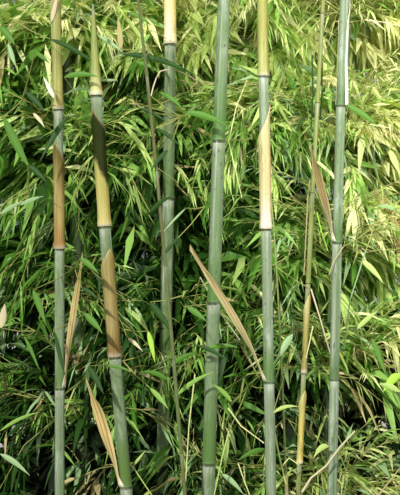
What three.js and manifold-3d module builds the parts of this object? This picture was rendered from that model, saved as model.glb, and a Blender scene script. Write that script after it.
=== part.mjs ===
// A large bamboo growing as one clump in a plain round terracotta pot.
//
// Six thick culms and three thin ones stand in front. They are this year's, with papery sheaths
// that still wrap some joints and hang loose from others. One of them is a young shoot, which
// ends as a spear in its last sheath. Four older culms behind them carry leafy branches almost
// from the ground, and every other tall culm ends in a leafy, arching top.
//
// Millimetres, +Z up, +X to the right and -Y towards the viewer. The origin is the middle of the
// pot's flat underside.

import * as THREE from 'three';
import { mergeVertices } from 'three/addons/utils/BufferGeometryUtils.js';
import Module from 'manifold-3d';

const wasm = await Module();
wasm.setup();

// Driving dimensions of the pot and the compost in it.
const POT = {
  height: 420,
  footRadius: 185,
  topRadius: 238,
  wall: 17,
  floor: 24,
  rimHeight: 62,
  rimOut: 13,
  rimSlope: 7,
  edge: 4,
  sides: 30,
};
const DRAIN = { count: 3, radius: 11, fromAxis: 95, sides: 8 };
const SOIL_LEVEL = 380;

// Clearance between a piece and what it is seated on or stands next to.
const CLEAR = 0.3;

// How a culm is built: its joints swell a little, and it stays thick for most of its length.
// Above smoothFrom, as a share of its length, the joints are too slight to show.
const CULM = {
  sides: 6,
  thinSides: 4,
  thinRadius: 4,
  jointSwell: 1.08,
  jointHeight: 5,
  tipTaper: 0.78,
  taperPower: 3,
  bendPower: 5,
  smoothFrom: 0.5,
  shootTip: 1.2,
};

// Joint spacing along a culm, as a share of its pitch: short at the ground and at the tip, where
// a rest shorter than half a step is added to the last internode.
const SPACING = { atGround: 0.42, fullFrom: 0.2, shortFrom: 0.55, atTip: 0.55, last: 1.5 };

// One row a culm: foot in plan, lean as a slope, bend as the slope that its tip gains, length,
// first joint's height over the compost, pitch of its middle joints and radius. leafy lists its
// masses of foliage as the joints they run between, plane is the compass angle that its branches
// leave on, reach is the length of its longest branch, and seed starts its masses' random numbers.
// A young shoot has the length that it grows to, and so far ends where shoot says.
const CULMS = [
  { name: 'a', foot: [-174, -22], lean: [0.003, -0.01], bend: [-0.9, -0.9], length: 2080,
    first: 88, pitch: 171, radius: 6.1, leafy: [[9, 16]], plane: 210, reach: 330, seed: 1 },
  { name: 'b', foot: [-47, -65], lean: [-0.086, -0.02], bend: [1.2, 0.6], length: 1950,
    first: 128, pitch: 156, radius: 7.3, leafy: [], shoot: 1062 },
  { name: 'c', foot: [-60, 52], lean: [0.024, 0.01], bend: [-0.9, 0.9], length: 2200,
    first: 64, pitch: 200, radius: 7.9, leafy: [[8, 14]], plane: 150, reach: 340, seed: 5 },
  { name: 'd', foot: [-4, -45], lean: [0.029, -0.02], bend: [0.5, -0.8], length: 2350,
    first: 110, pitch: 195, radius: 8, leafy: [[8, 15]], plane: 30, reach: 350, seed: 7 },
  { name: 'e', foot: [94, -82], lean: [-0.02, -0.01], bend: [0.2, 1.4], length: 2120,
    first: 80, pitch: 181, radius: 6.3, leafy: [[9, 15]], plane: 330, reach: 320, seed: 9 },
  { name: 'f', foot: [100, -12], lean: [0.046, -0.01], bend: [0.25, 0.9], length: 1750,
    first: 76, pitch: 112, radius: 3.1, leafy: [[12, 20]], plane: 0, reach: 250, seed: 11 },
  { name: 'g', foot: [152, -42], lean: [0.018, -0.01], bend: [0.8, -0.4], length: 2250,
    first: 110, pitch: 166, radius: 6, leafy: [[9, 17]], plane: 330, reach: 340, seed: 12 },
  { name: 'h', foot: [22, -105], lean: [-0.082, -0.02], bend: [-0.2, -0.9], length: 1500,
    first: 82, pitch: 110, radius: 2.3, leafy: [[7, 17]], plane: 180, reach: 190, seed: 14 },
  { name: 'i', foot: [121, -32], lean: [-0.032, -0.01], bend: [-0.1, 0.6], length: 1000,
    first: 72, pitch: 113, radius: 1.6, leafy: [] },
  { name: 'j', foot: [-138, 92], lean: [-0.035, 0.03], bend: [-0.8, 0.5], length: 2100,
    first: 70, pitch: 165, radius: 7.4, leafy: [[2, 8], [9, 16]], plane: 210, reach: 380, seed: 15 },
  { name: 'k', foot: [-40, 150], lean: [-0.015, 0.05], bend: [-0.3, 0.6], length: 2300,
    first: 86, pitch: 185, radius: 8, leafy: [[2, 7], [8, 15]], plane: 30, reach: 390, seed: 19 },
  { name: 'l', foot: [66, 132], lean: [0.012, 0.04], bend: [0.7, 0.6], length: 2200,
    first: 64, pitch: 175, radius: 7.8, leafy: [[2, 7], [8, 15]], plane: 150, reach: 390, seed: 23 },
  { name: 'm', foot: [150, 70], lean: [0.035, 0.02], bend: [0.8, 0.4], length: 2000,
    first: 98, pitch: 160, radius: 7, leafy: [[2, 8], [9, 16]], plane: 330, reach: 370, seed: 27 },
];

// Sheaths, each at a joint of a culm, spread this far round it to either side of the compass
// angle that they face. The one at the tip of a shoot narrows to the share of its width that tip
// gives, and a loose one narrows and leans out from the culm by tilt degrees.
const SHEATHS = [
  { culm: 'a', joint: 7, length: 150, facing: -60, spread: 150 },
  { culm: 'a', joint: 6, length: 131, facing: -120, spread: 150 },
  { culm: 'a', joint: 5, length: 166, facing: -15, spread: 75, tilt: 7.5 },
  { culm: 'b', joint: 7, length: 104, facing: -60, spread: 150, tip: 0.22 },
  { culm: 'b', joint: 6, length: 139, facing: -120, spread: 150 },
  { culm: 'b', joint: 5, length: 130, facing: -60, spread: 150 },
  { culm: 'b', joint: 4, length: 134, facing: 195, spread: 75, tilt: 12 },
  { culm: 'c', joint: 7, length: 160, facing: -60, spread: 150 },
  { culm: 'e', joint: 7, length: 150, facing: -60, spread: 150 },
  { culm: 'e', joint: 6, length: 150, facing: 0, spread: 150 },
  { culm: 'e', joint: 5, length: 163, facing: 185, spread: 75, tilt: 27 },
  { culm: 'f', joint: 7, length: 99, facing: -60, spread: 150 },
  { culm: 'f', joint: 6, length: 92, facing: -60, spread: 150 },
  { culm: 'g', joint: 7, length: 145, facing: 60, spread: 90 },
  { culm: 'g', joint: 6, length: 118, facing: 190, spread: 75, tilt: 14.5 },
  { culm: 'i', joint: 5, length: 30, facing: -60, spread: 150 },
];
const SHEATH = {
  thickness: 1,
  gap: 0.5,
  overJoint: CULM.jointHeight,
  columnAngle: 60,
  looseColumnAngle: 50,
  looseRows: 3,
  shoulder: 0.8,
  looseTip: 0.35,
  curl: 1.25,
};

// The rule that all branches follow. Angles are in degrees, and lengths are shares of the reach.
const BRANCH = {
  rise: 36,
  riseJitter: 16,
  jitter: 40,
  lesser: 0.62,
  singleFrom: 0.8,
  lesserTurn: 40,
  thinTurn: 75,
  shrink: 0.5,
  lengthJitter: 0.25,
  middle: 0.5,
  droop: 0.75,
  radius: 1.6,
  taper: [1, 0.8, 0.55],
};
const STEM = { radius: 3, tipRadius: 1.8, stand: 14, overJoint: 10, sides: 3 };
const LEAF = {
  share: 0.6,
  shortest: 130,
  longest: 210,
  sizeJitter: 0.15,
  width: 0.21,
  thickness: 0.022,
  widest: 0.36,
  turn: 48,
  droop: 0.35,
  spots: [0.5, 0, 0.25],
};

// No branch or leaf reaches further than this from the pot's axis.
const CROWN_RADIUS = 680;

const COLOURS = {
  terracotta: [0x9c5a3c, 0.85],
  compost: [0x2e2119, 0.95],
  culm: [0x8fa683, 0.5],
  oldCulm: [0x7f9150, 0.5],
  sheath: [0xd6b377, 0.7],
  leaf: [0x5f8a34, 0.55],
};

const UP = new THREE.Vector3(0, 0, 1);
const NORTH = new THREE.Vector3(0, 1, 0);

const { degToRad, clamp, lerp, smoothstep } = THREE.MathUtils;

// A compass direction in plan: 0 is +X and 90 is +Y.
function compass(degrees) {
  const angle = degToRad(degrees);
  return new THREE.Vector3(Math.cos(angle), Math.sin(angle), 0);
}

// The part of a direction that is square to another.
function squareTo(along, direction) {
  return direction.clone().addScaledVector(along, -direction.dot(along)).normalize();
}

// A repeatable source of numbers from 0 to 1.
function randomFrom(seed) {
  let state = seed * 7919 + 104729;
  const next = () => {
    state = (state * 16807) % 2147483647;
    return state / 2147483647;
  };
  next();
  return next;
}

// Moves each vertex of a geometry to where place puts it.
function deform(geometry, place) {
  const position = geometry.getAttribute('position');
  for (let i = 0; i < position.count; i++) {
    const moved = place(new THREE.Vector3().fromBufferAttribute(position, i));
    position.setXYZ(i, moved.x, moved.y, moved.z);
  }
  return geometry;
}

// The solid of a closed geometry.
function solidOf(geometry) {
  for (const name of ['normal', 'uv']) geometry.deleteAttribute(name);
  const merged = mergeVertices(geometry, 1e-3);
  return new wasm.Manifold(
    new wasm.Mesh({
      numProp: 3,
      vertProperties: merged.getAttribute('position').array,
      triVerts: new Uint32Array(merged.index.array),
    }),
  );
}

function geometryOf(solid) {
  const { vertProperties, triVerts } = solid.getMesh();
  const geometry = new THREE.BufferGeometry();
  geometry.setAttribute('position', new THREE.BufferAttribute(vertProperties, 3));
  geometry.setIndex(new THREE.BufferAttribute(triVerts, 1));
  geometry.computeVertexNormals();
  return geometry;
}

// A limb through points: a cylinder whose rings are moved. Each ring is as wide and as thick to
// either side as its entry in sizes says, and has a corner towards the given direction. Where
// sizes has one entry less than points, the limb ends in a point. Its foot is cut square to its
// first stretch, or to cut.
function limb(points, sizes, sides, towards, cut) {
  const rings = points.length - 1;
  const pointed = sizes.length === rings;
  const axes = points.map((_, i) => {
    const chord = points[Math.min(i + 1, rings)].clone().sub(points[Math.max(i - 1, 0)]);
    const along = i === 0 && cut ? cut : chord.normalize();
    const across = squareTo(along, towards);
    return { across, beside: along.clone().cross(across) };
  });
  return deform(new THREE.CylinderGeometry(pointed ? 0 : 1, 1, 1, sides, rings), (v) => {
    const i = Math.round((v.y + 0.5) * rings);
    if (i === sizes.length) return points[i].clone();
    const grown = pointed ? 1 / (1 - i / rings) : 1;
    return points[i]
      .clone()
      .addScaledVector(axes[i].beside, v.x * grown * sizes[i].width)
      .addScaledVector(axes[i].across, v.z * grown * sizes[i].thickness);
  });
}

const round = (radius) => ({ width: radius, thickness: radius });

// The joints of a culm from its foot to its tip: place, direction onward, radius, and how far
// along the culm it is as a share of its length.
function jointsOf(culm) {
  const spacing = (t) =>
    lerp(SPACING.atGround, 1, smoothstep(t, 0, SPACING.fullFrom)) *
    lerp(1, SPACING.atTip, smoothstep(t, SPACING.shortFrom, 1));
  const place = new THREE.Vector3(...culm.foot, SOIL_LEVEL + CLEAR);
  const joints = [];
  let along = 0;
  let step = culm.first;
  while (along < culm.length) {
    if (along + SPACING.last * step > culm.length) step = culm.length - along;
    const bend = ((along + step / 2) / culm.length) ** CULM.bendPower;
    const [x, y] = [0, 1].map((axis) => culm.lean[axis] + culm.bend[axis] * bend);
    const onward = new THREE.Vector3(x, y, 1).normalize();
    joints.push({ place: place.clone(), onward, share: along / culm.length });
    place.addScaledVector(onward, step);
    along += step;
    step = culm.pitch * spacing(along / culm.length);
  }
  const { onward } = joints[joints.length - 1];
  joints.push({ place: place.clone(), onward, share: 1 });
  for (const joint of joints) {
    joint.radius = culm.radius * (1 - CULM.tipTaper * joint.share ** CULM.taperPower);
  }
  return culm.shoot ? shootJoints(culm, joints) : joints;
}

// The joints that a young shoot has so far, with its narrow tip as the last.
function shootJoints(culm, joints) {
  const made = joints.filter((joint) => joint.share * culm.length < culm.shoot);
  const { place, onward, share } = made[made.length - 1];
  const tip = place.clone().addScaledVector(onward, culm.shoot - share * culm.length);
  return [...made, { place: tip, onward, share: 1, radius: CULM.shootTip }];
}

const isThin = (culm) => culm.radius < CULM.thinRadius;

// A culm's solid. Each joint is a swollen ring with the next internode's foot just over it.
function culmSolid(culm, joints) {
  const points = [];
  const radii = [];
  joints.forEach(({ place, onward, radius, share }, i) => {
    const swollen = i > 0 && share < CULM.smoothFrom;
    points.push(place);
    radii.push(swollen ? radius * CULM.jointSwell : radius);
    if (!swollen) return;
    points.push(place.clone().addScaledVector(onward, CULM.jointHeight));
    radii.push(radius);
  });
  const sides = isThin(culm) ? CULM.thinSides : CULM.sides;
  return solidOf(limb(points, radii.map(round), sides, NORTH, UP));
}

// A sheath: a box bent round the culm above a joint. Its top edge rises to a peak on the side
// that it faces, and it narrows evenly upwards where a shoot ends in it. A loose one is a trough
// with a level top, which narrows and leans out.
function sheathSolid(joint, sheath) {
  const loose = sheath.tilt !== undefined;
  const columnAngle = loose ? SHEATH.looseColumnAngle : SHEATH.columnAngle;
  const columns = Math.round((2 * sheath.spread) / columnAngle);
  const rows = loose ? SHEATH.looseRows : 1;
  const lean = loose ? Math.tan(degToRad(sheath.tilt)) : 0;
  const narrowest = loose ? SHEATH.looseTip : (sheath.tip ?? 1);
  const shoulder = loose ? 1 : SHEATH.shoulder;
  const outward = compass(sheath.facing);
  const across = squareTo(joint.onward, NORTH);
  const beside = across.clone().cross(joint.onward);
  return solidOf(
    deform(new THREE.BoxGeometry(1, 1, 1, columns, rows, 1), (v) => {
      const turn = 2 * v.x;
      const height = v.y + 0.5;
      const angle = degToRad(sheath.facing + turn * sheath.spread);
      const up = height * lerp(1, shoulder, Math.abs(turn));
      const inner = (joint.radius * CULM.jointSwell + SHEATH.gap) * lerp(1, narrowest, up);
      const out = inner + (0.5 + v.z) * SHEATH.thickness;
      return joint.place
        .clone()
        .addScaledVector(joint.onward, SHEATH.overJoint + up * sheath.length)
        .addScaledVector(beside, out * Math.cos(angle))
        .addScaledVector(across, out * Math.sin(angle))
        .addScaledVector(outward, lean * height ** SHEATH.curl * sheath.length);
    }),
  );
}

// The branches that grow at one joint of a culm, on the side that the joint's number gives, each
// as its heading, rise and length: a main one, and a lesser one lower down on a thick culm.
function branchesAt(culm, joint, side, random) {
  const single = isThin(culm) || joint.share > BRANCH.singleFrom;
  return (single ? [1] : [1, BRANCH.lesser]).map((size) => {
    const [turn, rise, long] = [random(), random(), random()].map((r) => 2 * r - 1);
    const base = isThin(culm) ? culm.plane + side * BRANCH.thinTurn : culm.plane + 90 - side * 90;
    const lesserTurn = size < 1 ? BRANCH.lesserTurn * Math.sign(turn) : 0;
    const shrunk = 1 - BRANCH.shrink * joint.share;
    return {
      heading: base + lesserTurn + BRANCH.jitter * turn,
      rise: BRANCH.rise + BRANCH.riseJitter * rise,
      length: culm.reach * size * shrunk * (1 + BRANCH.lengthJitter * long),
      main: size === 1,
    };
  });
}

// A branch's points from its root: it rises, then droops, and a leaf goes on from its end.
function branchPoints(root, { heading, rise, length }, leafLength) {
  const first = compass(heading).multiplyScalar(Math.cos(degToRad(rise)));
  first.z = Math.sin(degToRad(rise));
  const second = first.clone();
  second.z -= BRANCH.droop;
  second.normalize();
  const middle = root.clone().addScaledVector(first, length * BRANCH.middle);
  const end = middle.clone().addScaledVector(second, length * (1 - BRANCH.middle));
  return [root, middle, end, ...leafPoints(end, second, leafLength)];
}

// Where a leaf is widest, and its tip.
function leafPoints(root, direction, length) {
  const widest = root.clone().addScaledVector(direction, length * LEAF.widest);
  const tip = root
    .clone()
    .addScaledVector(direction, length)
    .addScaledVector(UP, -length * LEAF.droop * (1 - LEAF.widest));
  return [widest, tip];
}

// A leaf: a thin blade from a root to a tip, with a left, a right and an upper corner where it is
// widest, made from a ball of three columns and two rows.
function leafSolid(root, direction, length) {
  const [widest, tip] = leafPoints(root, direction, length);
  const side = direction.clone().cross(UP).normalize();
  const face = side.clone().cross(direction);
  return solidOf(
    deform(new THREE.SphereGeometry(1, 3, 2), (v) => {
      if (Math.abs(v.y) > 0.5) return v.y < 0 ? root.clone() : tip.clone();
      return widest
        .clone()
        .addScaledVector(side, (v.z * length * LEAF.width) / 2)
        .addScaledVector(face, (-v.x * length * LEAF.thickness) / 2);
    }),
  );
}

// The side leaves of a branch: its outer half bears one on its left and one or two on its right.
function sideLeaves([root, middle, end], main, size, random) {
  const outer = end.clone().sub(middle).normalize();
  const inner = middle.clone().sub(root).normalize();
  const spots = LEAF.spots.slice(0, main ? 3 : 2);
  return spots.map((share, i) => {
    const heading = share > 0 ? outer : inner;
    const turn = i === 0 ? LEAF.turn : -LEAF.turn;
    const direction = heading.clone().applyAxisAngle(UP, degToRad(turn));
    const length = size * (1 + LEAF.sizeJitter * (2 * random() - 1));
    return leafSolid(middle.clone().lerp(end, share), direction, length);
  });
}

// Every solid placed so far, with its box for quick tests. What comes later may not touch them.
const placed = [];
const boxed = (solid) => ({ solid, box: solid.boundingBox() });

// Whether a solid that grows from a stem lies inside the crown and touches nothing but the stem.
function isFree({ solid, box }, stem) {
  const furthest = [0, 1].map((i) => Math.max(-box.min[i], box.max[i]));
  if (Math.hypot(...furthest) > CROWN_RADIUS) return false;
  return placed.every((other) => {
    const apart = box.min.some((low, i) => low > other.box.max[i] || other.box.min[i] > box.max[i]);
    return apart || other === stem || other.solid.intersect(solid).isEmpty();
  });
}

// The stem that a mass of foliage grows from. It leaves the culm just over a joint, and climbs
// beside it from joint to joint.
function stemPoints(joints, heading, from, to) {
  const beside = ({ place, onward }, distance) =>
    place.clone().addScaledVector(squareTo(onward, heading), distance);
  const first = joints[from];
  const foot = [CLEAR, STEM.stand].map((out) =>
    beside(first, first.radius + out).addScaledVector(first.onward, STEM.overJoint),
  );
  const climb = joints.slice(from + 1, to + 1);
  return [...foot, ...climb.map((joint) => beside(joint, joint.radius + STEM.stand))];
}

// The bare stem of one mass of foliage, which runs between two joints of a culm and bears the
// branches of the given sides.
function startMass(culm, joints, sides, [from, last]) {
  const to = Math.min(last, joints.length - 2);
  const heading = compass(culm.plane + (sides.includes(1) ? 0 : 180));
  const points = stemPoints(joints, heading, from, to);
  const sizes = points.map((_, i) => round(lerp(STEM.radius, STEM.tipRadius, i / points.length)));
  const stem = boxed(solidOf(limb(points, sizes, STEM.sides, heading)));
  placed.push(stem);
  return { culm, joints, sides, from, to, points, stem };
}

// A mass of foliage, fused from its stem, the branches on that and their leaves. What would
// touch another piece is left out.
function massSolid({ culm, joints, sides, from, to, points, stem }, random) {
  const pieces = [stem];
  for (let j = from; j <= to; j++) {
    const side = j % 2 ? 1 : -1;
    if (!sides.includes(side)) continue;
    const root = points[Math.max(1, j - from + 1)];
    for (const branch of branchesAt(culm, joints[j], side, random)) {
      const size = clamp(branch.length * LEAF.share, LEAF.shortest, LEAF.longest);
      const route = branchPoints(root, branch, size);
      const radii = BRANCH.taper.map((share) => round(BRANCH.radius * share));
      const blade = { width: (size * LEAF.width) / 2, thickness: (size * LEAF.thickness) / 2 };
      const wood = boxed(solidOf(limb(route, [...radii, blade], STEM.sides, UP)));
      const leaves = sideLeaves(route, branch.main, size, random).map(boxed);
      if (!isFree(wood, stem)) continue;
      pieces.push(wood, ...leaves.filter((piece) => isFree(piece, stem)));
    }
  }
  placed.push(...pieces);
  return wasm.Manifold.union(pieces.map((piece) => piece.solid));
}

// A solid turned about the Z axis from a profile of radii and heights.
function turned(profile) {
  const points = profile.map(([radius, height]) => new THREE.Vector2(radius, height));
  return solidOf(new THREE.LatheGeometry(points, POT.sides).rotateX(Math.PI / 2));
}

// The pot's outer radius at a height, without its rim.
const potRadius = (z) => lerp(POT.footRadius, POT.topRadius, z / POT.height);

// The pot: a tapered wall with a rim, and a thick floor with drain holes.
function potSolid() {
  const rimFoot = POT.height - POT.rimHeight;
  const rimRadius = POT.topRadius + POT.rimOut;
  const innerTop = potRadius(POT.height) - POT.wall;
  let pot = turned([
    [0, 0],
    [potRadius(0) - POT.edge, 0],
    [potRadius(POT.edge), POT.edge],
    [potRadius(rimFoot), rimFoot],
    [rimRadius - POT.edge, rimFoot + POT.rimSlope],
    [rimRadius, POT.height - POT.edge],
    [rimRadius - POT.edge, POT.height],
    [innerTop, POT.height],
    [potRadius(POT.floor) - POT.wall, POT.floor],
    [0, POT.floor],
  ]);
  for (let i = 0; i < DRAIN.count; i++) {
    const middle = compass((i * 360) / DRAIN.count).multiplyScalar(DRAIN.fromAxis);
    const long = 3 * POT.floor;
    const bore = new THREE.CylinderGeometry(DRAIN.radius, DRAIN.radius, long, DRAIN.sides);
    pot = pot.subtract(solidOf(bore.rotateX(Math.PI / 2).translate(middle.x, middle.y, 0)));
  }
  return pot;
}

// The compost, which fills the pot up to its level.
function compostSolid() {
  const radius = (z) => potRadius(z) - POT.wall - CLEAR;
  return turned([
    [0, POT.floor + CLEAR],
    [radius(POT.floor), POT.floor + CLEAR],
    [radius(SOIL_LEVEL), SOIL_LEVEL],
    [0, SOIL_LEVEL],
  ]);
}

const bamboo = new THREE.Group();

function add(name, solid, [color, roughness]) {
  const material = new THREE.MeshStandardMaterial({ color, roughness, metalness: 0 });
  const mesh = new THREE.Mesh(geometryOf(solid), material);
  mesh.name = name;
  bamboo.add(mesh);
}

add('pot', potSolid(), COLOURS.terracotta);
add('compost', compostSolid(), COLOURS.compost);

const jointsOn = new Map(CULMS.map((culm) => [culm.name, jointsOf(culm)]));

for (const culm of CULMS) {
  const solid = culmSolid(culm, jointsOn.get(culm.name));
  placed.push(boxed(solid));
  add(`culm_${culm.name}`, solid, culm.leafy.length > 1 ? COLOURS.oldCulm : COLOURS.culm);
}

for (const sheath of SHEATHS) {
  const solid = sheathSolid(jointsOn.get(sheath.culm)[sheath.joint], sheath);
  placed.push(boxed(solid));
  const kind = sheath.tilt === undefined ? 'sheath' : 'loose_sheath';
  add(`${kind}_${sheath.culm}${sheath.joint}`, solid, COLOURS.sheath);
}

// All stems are placed before any branch, so that no branch grows through one.
const masses = [];
for (const culm of CULMS) {
  const parts = isThin(culm) ? { all: [1, -1] } : { right: [1], left: [-1] };
  culm.leafy.forEach((range, tier) => {
    for (const [part, sides] of Object.entries(parts)) {
      const mass = startMass(culm, jointsOn.get(culm.name), sides, range);
      const seed = culm.seed + masses.filter((other) => other.mass.culm === culm).length;
      masses.push({ name: `foliage_${culm.name}${tier + 1}_${part}`, mass, seed });
    }
  });
}

for (const { name, mass, seed } of masses) {
  add(name, massSolid(mass, randomFrom(seed)), COLOURS.leaf);
}

export default bamboo;
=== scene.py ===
"""Looks of a clump of bamboo in a plain terracotta pot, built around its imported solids.

The culms, sheaths, pot and compost are remade with a finer surface. Each mass of foliage is
replaced by branches, twigs and leaves that grow on from the culms by the same rule as the
solids. Sizes are in millimetres and angles in degrees. make_piece turns them into metres.
"""

import math

import bpy
import numpy as np
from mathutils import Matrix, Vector, noise


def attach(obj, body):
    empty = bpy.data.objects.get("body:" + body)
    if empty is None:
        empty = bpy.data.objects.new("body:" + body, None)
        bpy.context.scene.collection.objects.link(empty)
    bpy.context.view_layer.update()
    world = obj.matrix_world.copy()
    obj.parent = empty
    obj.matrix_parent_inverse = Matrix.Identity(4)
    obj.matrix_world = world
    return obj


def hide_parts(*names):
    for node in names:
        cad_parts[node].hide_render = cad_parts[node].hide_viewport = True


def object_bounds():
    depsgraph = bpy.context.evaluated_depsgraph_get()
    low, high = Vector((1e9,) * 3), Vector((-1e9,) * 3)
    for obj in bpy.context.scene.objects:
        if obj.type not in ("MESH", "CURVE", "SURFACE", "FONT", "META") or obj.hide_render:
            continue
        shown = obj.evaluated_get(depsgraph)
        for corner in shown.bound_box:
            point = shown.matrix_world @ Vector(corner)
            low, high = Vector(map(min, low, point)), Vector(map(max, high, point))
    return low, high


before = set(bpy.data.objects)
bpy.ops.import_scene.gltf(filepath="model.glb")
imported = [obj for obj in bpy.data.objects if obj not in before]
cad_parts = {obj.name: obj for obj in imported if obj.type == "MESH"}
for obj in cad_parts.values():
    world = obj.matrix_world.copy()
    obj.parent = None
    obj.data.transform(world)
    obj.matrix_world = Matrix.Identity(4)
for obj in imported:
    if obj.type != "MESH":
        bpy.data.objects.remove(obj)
cad_low, cad_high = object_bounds()

MM = 0.001
SEED = 11

# The culms, as the solids have them: foot in plan, lean as a slope, bend as the slope that the
# tip gains, length, first joint's height, pitch of the joints, radius, the joints that its masses
# of foliage run between, the compass angle of its branches, its longest branch, and what its
# random numbers start from. A young shoot has the length that it grows to, and so far ends where
# SHOOTS says, in a narrow tip.
SOIL_LEVEL = 380.0
CLEAR = 0.3
COLUMNS = "name foot lean bend length first pitch radius leafy plane reach seed".split()
CULM_ROWS = (
    ("a", (-174, -22), (0.003, -0.01), (-0.9, -0.9), 2080, 88, 171, 6.1, [(9, 16)], 210, 330, 1),
    ("b", (-47, -65), (-0.086, -0.02), (1.2, 0.6), 1950, 128, 156, 7.3, [], 0, 0, 0),
    ("c", (-60, 52), (0.024, 0.01), (-0.9, 0.9), 2200, 64, 200, 7.9, [(8, 14)], 150, 340, 5),
    ("d", (-4, -45), (0.029, -0.02), (0.5, -0.8), 2350, 110, 195, 8.0, [(8, 15)], 30, 350, 7),
    ("e", (94, -82), (-0.02, -0.01), (0.2, 1.4), 2120, 80, 181, 6.3, [(9, 15)], 330, 320, 9),
    ("f", (100, -12), (0.046, -0.01), (0.25, 0.9), 1750, 76, 112, 3.1, [(12, 20)], 0, 250, 11),
    ("g", (152, -42), (0.018, -0.01), (0.8, -0.4), 2250, 110, 166, 6.0, [(9, 17)], 330, 340, 12),
    ("h", (22, -105), (-0.082, -0.02), (-0.2, -0.9), 1500, 82, 110, 2.3, [(7, 17)], 180, 190, 14),
    ("i", (121, -32), (-0.032, -0.01), (-0.1, 0.6), 1000, 72, 113, 1.6, [], 0, 0, 0),
    ("j", (-138, 92), (-0.035, 0.03), (-0.8, 0.5), 2100, 70, 165, 7.4, [(2, 8), (9, 16)], 210, 380, 15),
    ("k", (-40, 150), (-0.015, 0.05), (-0.3, 0.6), 2300, 86, 185, 8.0, [(2, 7), (8, 15)], 30, 390, 19),
    ("l", (66, 132), (0.012, 0.04), (0.7, 0.6), 2200, 64, 175, 7.8, [(2, 7), (8, 15)], 150, 390, 23),
    ("m", (150, 70), (0.035, 0.02), (0.8, 0.4), 2000, 98, 160, 7.0, [(2, 8), (9, 16)], 330, 370, 27),
)
CULMS = [dict(zip(COLUMNS, row)) for row in CULM_ROWS]
SHOOTS, SHOOT_TIP = {"b": 1062.0}, 1.2
OLD = "jklm"
THIN_RADIUS = 4.0

# The pitch of the joints is a smaller share near the ground and towards the tip, and the last
# stretch may be longer. Culms taper and bend by powers of the share of their length.
SPACING = {"ground": 0.42, "full_from": 0.2, "short_from": 0.55, "tip": 0.55, "last": 1.5}
TAPER, TAPER_POWER, BEND_POWER = 0.78, 3, 5

# The photograph's view: the camera looks along +Y at the middle of the culms. Width and height
# are what it sees in the plane through the middle of the pot.
CAMERA = {"place": (0.0, -1700.0, 1150.0), "lens": 98.9}
FRAME_WIDTH, FRAME_HEIGHT = 500.0, 619.0

# Suns: name, strength, width in degrees, colour, and where the light goes. A soft lamp at the
# upper right adds to them: its place and what it points at in metres, its size, its strength and
# its spread in degrees.
SUNS = (
    ("key", 3.9, 2.0, (1.0, 0.98, 0.93), (0.34, 0.84, -0.5)),
    ("fill", 0.45, 40.0, (0.96, 0.98, 1.0), (-0.7, 0.7, -0.25)),
)
KEY_WAY = SUNS[0][4]
SOFT_LAMP = {
    "place": (0.45, -0.95, 1.62), "aim": (0.24, 0.05, 1.4), "size": 0.4, "energy": 1.8, "spread": 60.0,
}
SKY = {"Color": (0.86, 0.93, 0.96, 1.0), "Strength": 0.3}
FLOOR = {"half": 60.0, "colour": (0.56, 0.56, 0.54), "rough": 0.9}


def smoothstep(x, low, high):
    u = clamped((x - low) / (high - low))
    return u * u * (3.0 - 2.0 * u)


def lerp(a, b, u):
    return a + (b - a) * u


def unit(v):
    v = np.asarray(v, float)
    return v / np.maximum(np.linalg.norm(v, axis=-1, keepdims=True), 1e-9)


def compass(degrees):
    angle = np.radians(degrees)
    return np.stack([np.cos(angle), np.sin(angle), np.zeros_like(angle)], axis=-1)


def linear(r, g, b):
    """A colour given in 0 to 255 as shown on a screen, as the renderer wants it."""
    return np.array([((c / 255 + 0.055) / 1.055) ** 2.4 for c in (r, g, b)])


def clamped(values):
    return np.clip(values, 0.0, 1.0)


def throw(random, share, count):
    """Which of a number of throws fall to a share."""
    return random.uniform(0.0, 1.0, count) < share


def circle(sides):
    """The angles of points round a circle, with their cosines and sines."""
    angle = np.arange(sides) * 2 * math.pi / sides
    return angle, np.cos(angle), np.sin(angle)


UP = np.array([0.0, 0.0, 1.0])
NORTH = np.array([0.0, 1.0, 0.0])
# Nearly up, but never quite along a branch.
OFF_UP = UP + 0.01


def axes_across(along):
    """Directions across a culm's own: away from the viewer, and to the right."""
    away = unit(NORTH - along * (along @ NORTH)[..., None])
    return away, np.cross(away, along)


# Making meshes


def make_piece(name, verts, faces, material, colours=None, weave=None):
    """An object from vertices in millimetres and faces of one length each. colours and weave are
    values for each vertex, which materials read as the attributes tint and weave."""
    faces = [np.asarray(f) for f in (faces if isinstance(faces, list) else [faces])]
    mesh = bpy.data.meshes.new(name)
    verts = np.asarray(verts, np.float32).reshape(-1, 3)
    mesh.vertices.add(len(verts))
    mesh.vertices.foreach_set("co", (verts * MM).ravel())
    corners = np.concatenate([f.ravel() for f in faces])
    sizes = np.concatenate([np.full(len(f), f.shape[1]) for f in faces])
    mesh.loops.add(len(corners))
    mesh.loops.foreach_set("vertex_index", corners.astype(np.int32))
    mesh.polygons.add(len(sizes))
    starts = np.concatenate([[0], np.cumsum(sizes)[:-1]])
    mesh.polygons.foreach_set("loop_start", starts.astype(np.int32))
    mesh.polygons.foreach_set("use_smooth", np.ones(len(sizes), bool))
    mesh.update(calc_edges=True)
    if colours is not None:
        tint = mesh.color_attributes.new("tint", "FLOAT_COLOR", "POINT")
        rgba = np.ones((len(verts), 4), np.float32)
        rgba[:, :colours.shape[-1]] = colours.reshape(len(verts), -1)
        tint.data.foreach_set("color", rgba.ravel())
    if weave is not None:
        store = mesh.attributes.new("weave", "FLOAT_VECTOR", "POINT")
        store.data.foreach_set("vector", np.asarray(weave, np.float32).ravel())
    mesh.materials.append(material)
    obj = bpy.data.objects.new(name, mesh)
    bpy.context.scene.collection.objects.link(obj)
    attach(obj, "root")
    return obj


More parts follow.
